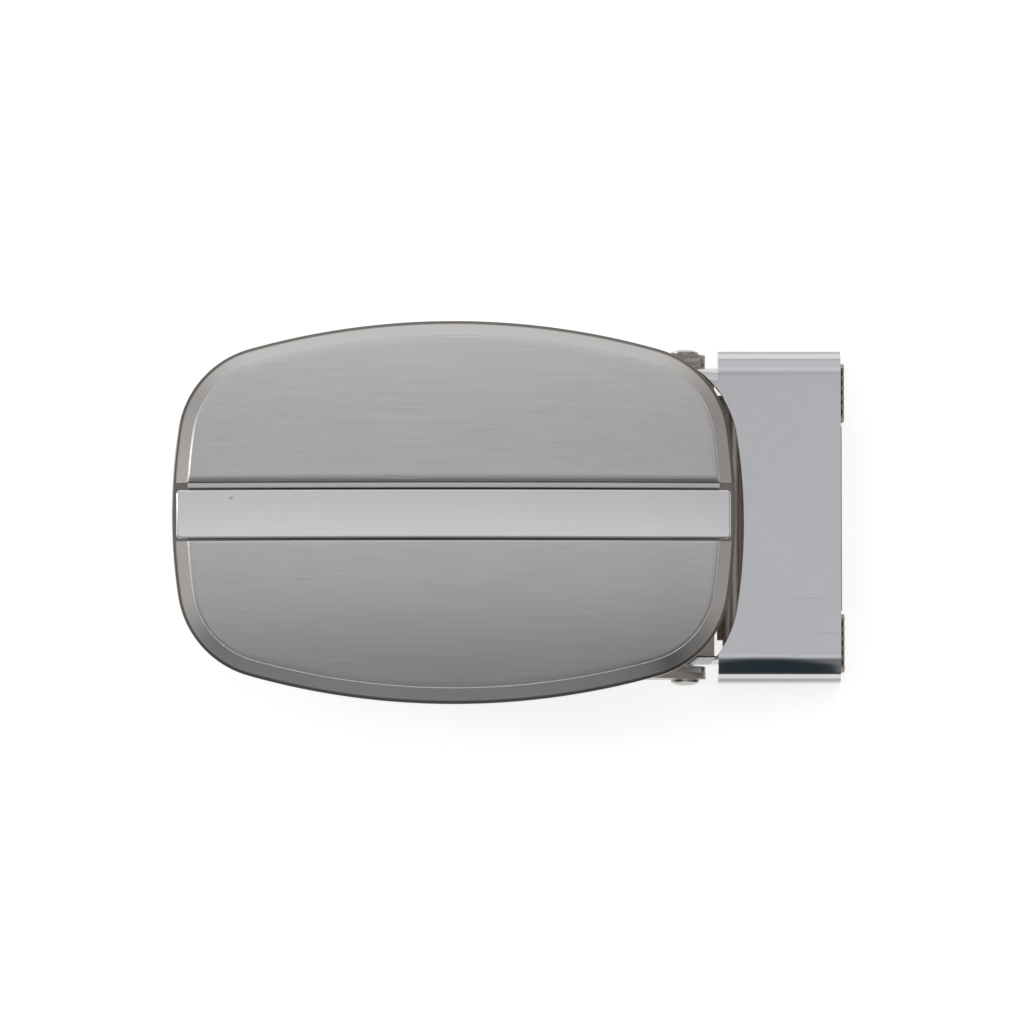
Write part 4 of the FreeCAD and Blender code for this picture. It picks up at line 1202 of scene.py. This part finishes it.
def coil_ring(degrees, forward=0.0):
    """Ring of wire at an angle along the coil, moved straight forward by so many millimetres."""
    turn = math.radians(degrees)
    out = Vector((math.cos(turn), math.sin(turn), 0))
    onward = Vector((-math.sin(turn), math.cos(turn), 0))
    centre = out * COIL_RADIUS + onward * forward
    centre.z = COIL_PITCH * degrees / 360
    ring = []
    for k in range(WIRE_SIDES):
        a = math.tau * k / WIRE_SIDES
        p = centre + WIRE_RADIUS * (math.cos(a) * out + math.sin(a) * Vector((0, 0, 1)))
        x = p.x * math.cos(COIL_ROLL) - p.y * math.sin(COIL_ROLL)
        z = -p.x * math.sin(COIL_ROLL) - p.y * math.cos(COIL_ROLL)
        ring.append(COIL_START + Vector((x, p.z, z)))
    return ring


def spring_wire(name, rings, body, node=None):
    """One length of wire with flat cut ends."""
    bm = bmesh.new()
    lay_grid(bm, rings, closed=True)
    for ring in (rings[0], rings[-1]):
        bm.faces.new([bm.verts.new(p) for p in ring])
    as_piece(bm, name, body, "spring_steel", node)


print(f"coil {2 * (COIL_RADIUS + WIRE_RADIUS):.2f} mm across")

# %% Make the spring
COIL_END = 6 * 360 + 39.6
LEG_LENGTH = 4.6
LEG_STEPS = 4
WIND_UP = 34
OVERLAP = 2
START_STEPS = 6
COIL_STEP = 7.5

leg = [coil_ring(0, -LEG_LENGTH * (1 - i / LEG_STEPS)) for i in range(LEG_STEPS)]
start = [coil_ring((WIND_UP + OVERLAP) * i / START_STEPS) for i in range(START_STEPS + 1)]
spring_wire("spring_leg", leg + start, "pawl")
count = round((COIL_END - WIND_UP) / COIL_STEP)
coil = [coil_ring(WIND_UP + (COIL_END - WIND_UP) * i / count) for i in range(count + 1)]
foot = [coil_ring(COIL_END, LEG_LENGTH * (i + 1) / LEG_STEPS) for i in range(LEG_STEPS)]
spring_wire("spring_coil", coil + foot, "buckle", "pawl_spring")

# %% [markdown]
# ## Rivets
# Two domed rivets are the clip's hinge, and four flatter ones hold the frame to the face. All six are
# one shape with other sizes, which is work for Geometry Nodes. The head starts as a cylinder. Its top
# is pressed into a dome that falls by half the head's height towards the rim, with a small dimple from
# the riveting tool in the middle.

# %% Rivet head
DOME_FALL = 0.5
DOME_POWER = 2.6
DIMPLE_DEPTH = 0.12
DIMPLE_SHARPNESS = -7e6


def domed_head(tree, given):
    """A cylinder on the origin whose top is pressed into a dome; gives its geometry."""
    segments = {"Vertices": 48, "Side Segments": 3, "Fill Segments": 9}
    sizes = {"Radius": given["Head Radius"], "Depth": given["Head Height"]}
    head = wire(tree, "GeometryNodeMeshCylinder", {**segments, **sizes})
    position = wire(tree, "GeometryNodeInputPosition").outputs[0]
    x, y, z = wire(tree, "ShaderNodeSeparateXYZ", {0: position}).outputs
    square = maths(tree, "MULTIPLY_ADD", x, x, maths(tree, "MULTIPLY", y, y))
    # a point's distance from the axis, as a share of the head's radius
    share = maths(tree, "DIVIDE", maths(tree, "SQRT", square), given["Head Radius"])
    fall = maths(tree, "MULTIPLY", maths(tree, "POWER", share, DOME_POWER), DOME_FALL)
    well = maths(tree, "EXPONENT", maths(tree, "MULTIPLY", square, DIMPLE_SHARPNESS))
    pressed = maths(tree, "MULTIPLY_ADD", well, DIMPLE_DEPTH, fall)
    sink = maths(tree, "MULTIPLY", pressed, given["Head Height"])
    top_only = maths(tree, "MULTIPLY", sink, maths(tree, "GREATER_THAN", z, 0.0))
    half_height = maths(tree, "MULTIPLY", given["Head Height"], 0.5)
    offset = wire(tree, "ShaderNodeCombineXYZ", {"Z": maths(tree, "SUBTRACT", half_height, top_only)})
    moved = {"Geometry": head.outputs["Mesh"], "Offset": offset.outputs[0]}
    return wire(tree, "GeometryNodeSetPosition", moved).outputs["Geometry"]


print("a head's dome falls by", DOME_FALL, "of its height")

# %% [markdown]
# The shank is a plain cylinder below the head. The finished rivet is put on every point of a little
# cloud of points, each copy turned along the point's own direction. At the end the copies are made real
# and given their finish.

# %% Rivet tree
def straight_shank(tree, given):
    """A cylinder from the origin downwards; gives its geometry."""
    sizes = {"Vertices": 32, "Radius": given["Shank Radius"], "Depth": given["Shank Length"]}
    shank = wire(tree, "GeometryNodeMeshCylinder", sizes)
    half_down = maths(tree, "MULTIPLY", given["Shank Length"], -0.5)
    down = wire(tree, "ShaderNodeCombineXYZ", {"Z": half_down})
    lowered = {"Geometry": shank.outputs["Mesh"], "Translation": down.outputs[0]}
    return wire(tree, "GeometryNodeTransform", lowered).outputs["Geometry"]


rivets = bpy.data.node_groups.new("rivets_on_points", "GeometryNodeTree")
rivet_sockets = {"Geometry": "NodeSocketGeometry"}
for label in ("Head Radius", "Head Height", "Shank Radius", "Shank Length"):
    rivet_sockets[label] = "NodeSocketFloat"
rivet_sockets["Material"] = "NodeSocketMaterial"
for label, kind in rivet_sockets.items():
    rivets.interface.new_socket(label, in_out="INPUT", socket_type=kind)
rivets.interface.new_socket("Geometry", in_out="OUTPUT", socket_type="NodeSocketGeometry")
given = wire(rivets, "NodeGroupInput").outputs
rivet = rivets.nodes.new("GeometryNodeJoinGeometry")
for part in (domed_head(rivets, given), straight_shank(rivets, given)):
    rivets.links.new(part, rivet.inputs[0])
aim = wire(rivets, "GeometryNodeInputNamedAttribute", {"Name": "aim"}, data_type="FLOAT_VECTOR")
along = {"Vector": aim.outputs["Attribute"]}
turned = wire(rivets, "FunctionNodeAlignRotationToVector", along, axis="Z").outputs["Rotation"]
copies = {"Points": given["Geometry"], "Instance": rivet.outputs[0], "Rotation": turned}
spread = wire(rivets, "GeometryNodeInstanceOnPoints", copies).outputs["Instances"]
solid = wire(rivets, "GeometryNodeRealizeInstances", {"Geometry": spread}).outputs["Geometry"]
coat = {"Geometry": solid, "Material": given["Material"]}
painted = wire(rivets, "GeometryNodeSetMaterial", coat).outputs["Geometry"]
wire(rivets, "NodeGroupOutput", {0: painted})
print("rivet tree:", len(rivets.nodes), "nodes")

# %% [markdown]
# Each set of rivets becomes one plain mesh, which rides on the buckle's body and stands for its CAD
# nodes.

# %% Rivet sets
RIM_OF_HEAD = math.radians(40)


def rivet_set(name, places, sizes, slot, nodes):
    """places are (point, direction) in millimetres, and sizes follow the tree's four inputs."""
    cloud = bpy.data.meshes.new(name + "_places")
    cloud.from_pydata([point * MM for point, _ in places], [], [])
    aims = cloud.attributes.new("aim", "FLOAT_VECTOR", "POINT")
    for item, (_, direction) in zip(aims.data, places):
        item.vector = direction
    draft = bpy.data.objects.new(name + "_draft", cloud)
    scene.collection.objects.link(draft)
    modifier = draft.modifiers.new("rivets", "NODES")
    modifier.node_group = rivets
    sockets = [s for s in rivets.interface.items_tree if s.in_out == "INPUT"][1:]
    for socket, value in zip(sockets, [length * MM for length in sizes] + [finishes[slot]]):
        modifier[socket.identifier] = value
    graph = bpy.context.evaluated_depsgraph_get()
    mesh = bpy.data.meshes.new_from_object(draft.evaluated_get(graph))
    bpy.data.objects.remove(draft)
    mesh.name = name
    mesh.shade_smooth()
    mesh.set_sharp_from_angle(angle=RIM_OF_HEAD)
    piece = bpy.data.objects.new(name, mesh)
    scene.collection.objects.link(piece)
    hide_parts(*nodes)
    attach(piece, "buckle")
    print(name, len(places), "rivets,", len(mesh.polygons), "faces")


print("rivets take", len(rivet_sockets), "inputs")

# %% [markdown]
# The hinge rivets look outwards, one through each ear of the frame. Their places come from the CAD
# rivets' own boxes.

# %% Hinge rivets
HINGE_NODES = ("clip_rivet_upper", "clip_rivet_lower")
HINGE_HEAD = 0.65
HINGE_SHANK = 0.9
HINGE_LENGTH = 2.36

hinge_places = []
for node in HINGE_NODES:
    rivet_low, rivet_high = box_mm(node)
    centre = (rivet_low + rivet_high) / 2
    outward = 1 if centre.y > 0 else -1
    tip = rivet_high.y if outward > 0 else rivet_low.y
    seat = Vector((centre.x, tip - outward * HINGE_HEAD, centre.z))
    hinge_places.append((seat, Vector((0, outward, 0))))
hinge_radius = (rivet_high.x - rivet_low.x) / 2
hinge_sizes = (hinge_radius, HINGE_HEAD, HINGE_SHANK, HINGE_LENGTH)
rivet_set("hinge_rivets", hinge_places, hinge_sizes, "rivet_steel", HINGE_NODES)

# %% [markdown]
# The flange rivets hang head down, at the corners of the box that holds all four.

# %% Flange rivets
FLANGE_RADIUS = 1.3
FLANGE_HEAD = 0.4
FLANGE_SHANK = 0.8

low, high = box_mm("frame_rivets")
flange_places = [
    (Vector((x, y, low.z + FLANGE_HEAD)), Vector((0, 0, -1)))
    for x in (low.x + FLANGE_RADIUS, high.x - FLANGE_RADIUS)
    for y in (low.y + FLANGE_RADIUS, high.y - FLANGE_RADIUS)
]
flange_length = high.z - low.z - FLANGE_HEAD
flange_sizes = (FLANGE_RADIUS, FLANGE_HEAD, FLANGE_SHANK, flange_length)
rivet_set("flange_rivets", flange_places, flange_sizes, "pin_steel", ("frame_rivets",))

# %% [markdown]
# The pins, the shaft and the spreader bar are plain turned cylinders. They keep their CAD meshes and
# only get their finish.

# %% Finishes on the rest
for node in frame["nodes"].values():
    holder = node.material_slots[0]
    if holder.name in finishes:
        holder.material = finishes[holder.name]
print("slots painted:", sorted(finishes))

# %% [markdown]
# ## Finish
# The whole visual model has to stay inside the CAD model's box. The box round the whole visual
# model is taken at the end, as the CAD model's box was taken at the start.

# %% Sizes and finish
low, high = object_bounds()
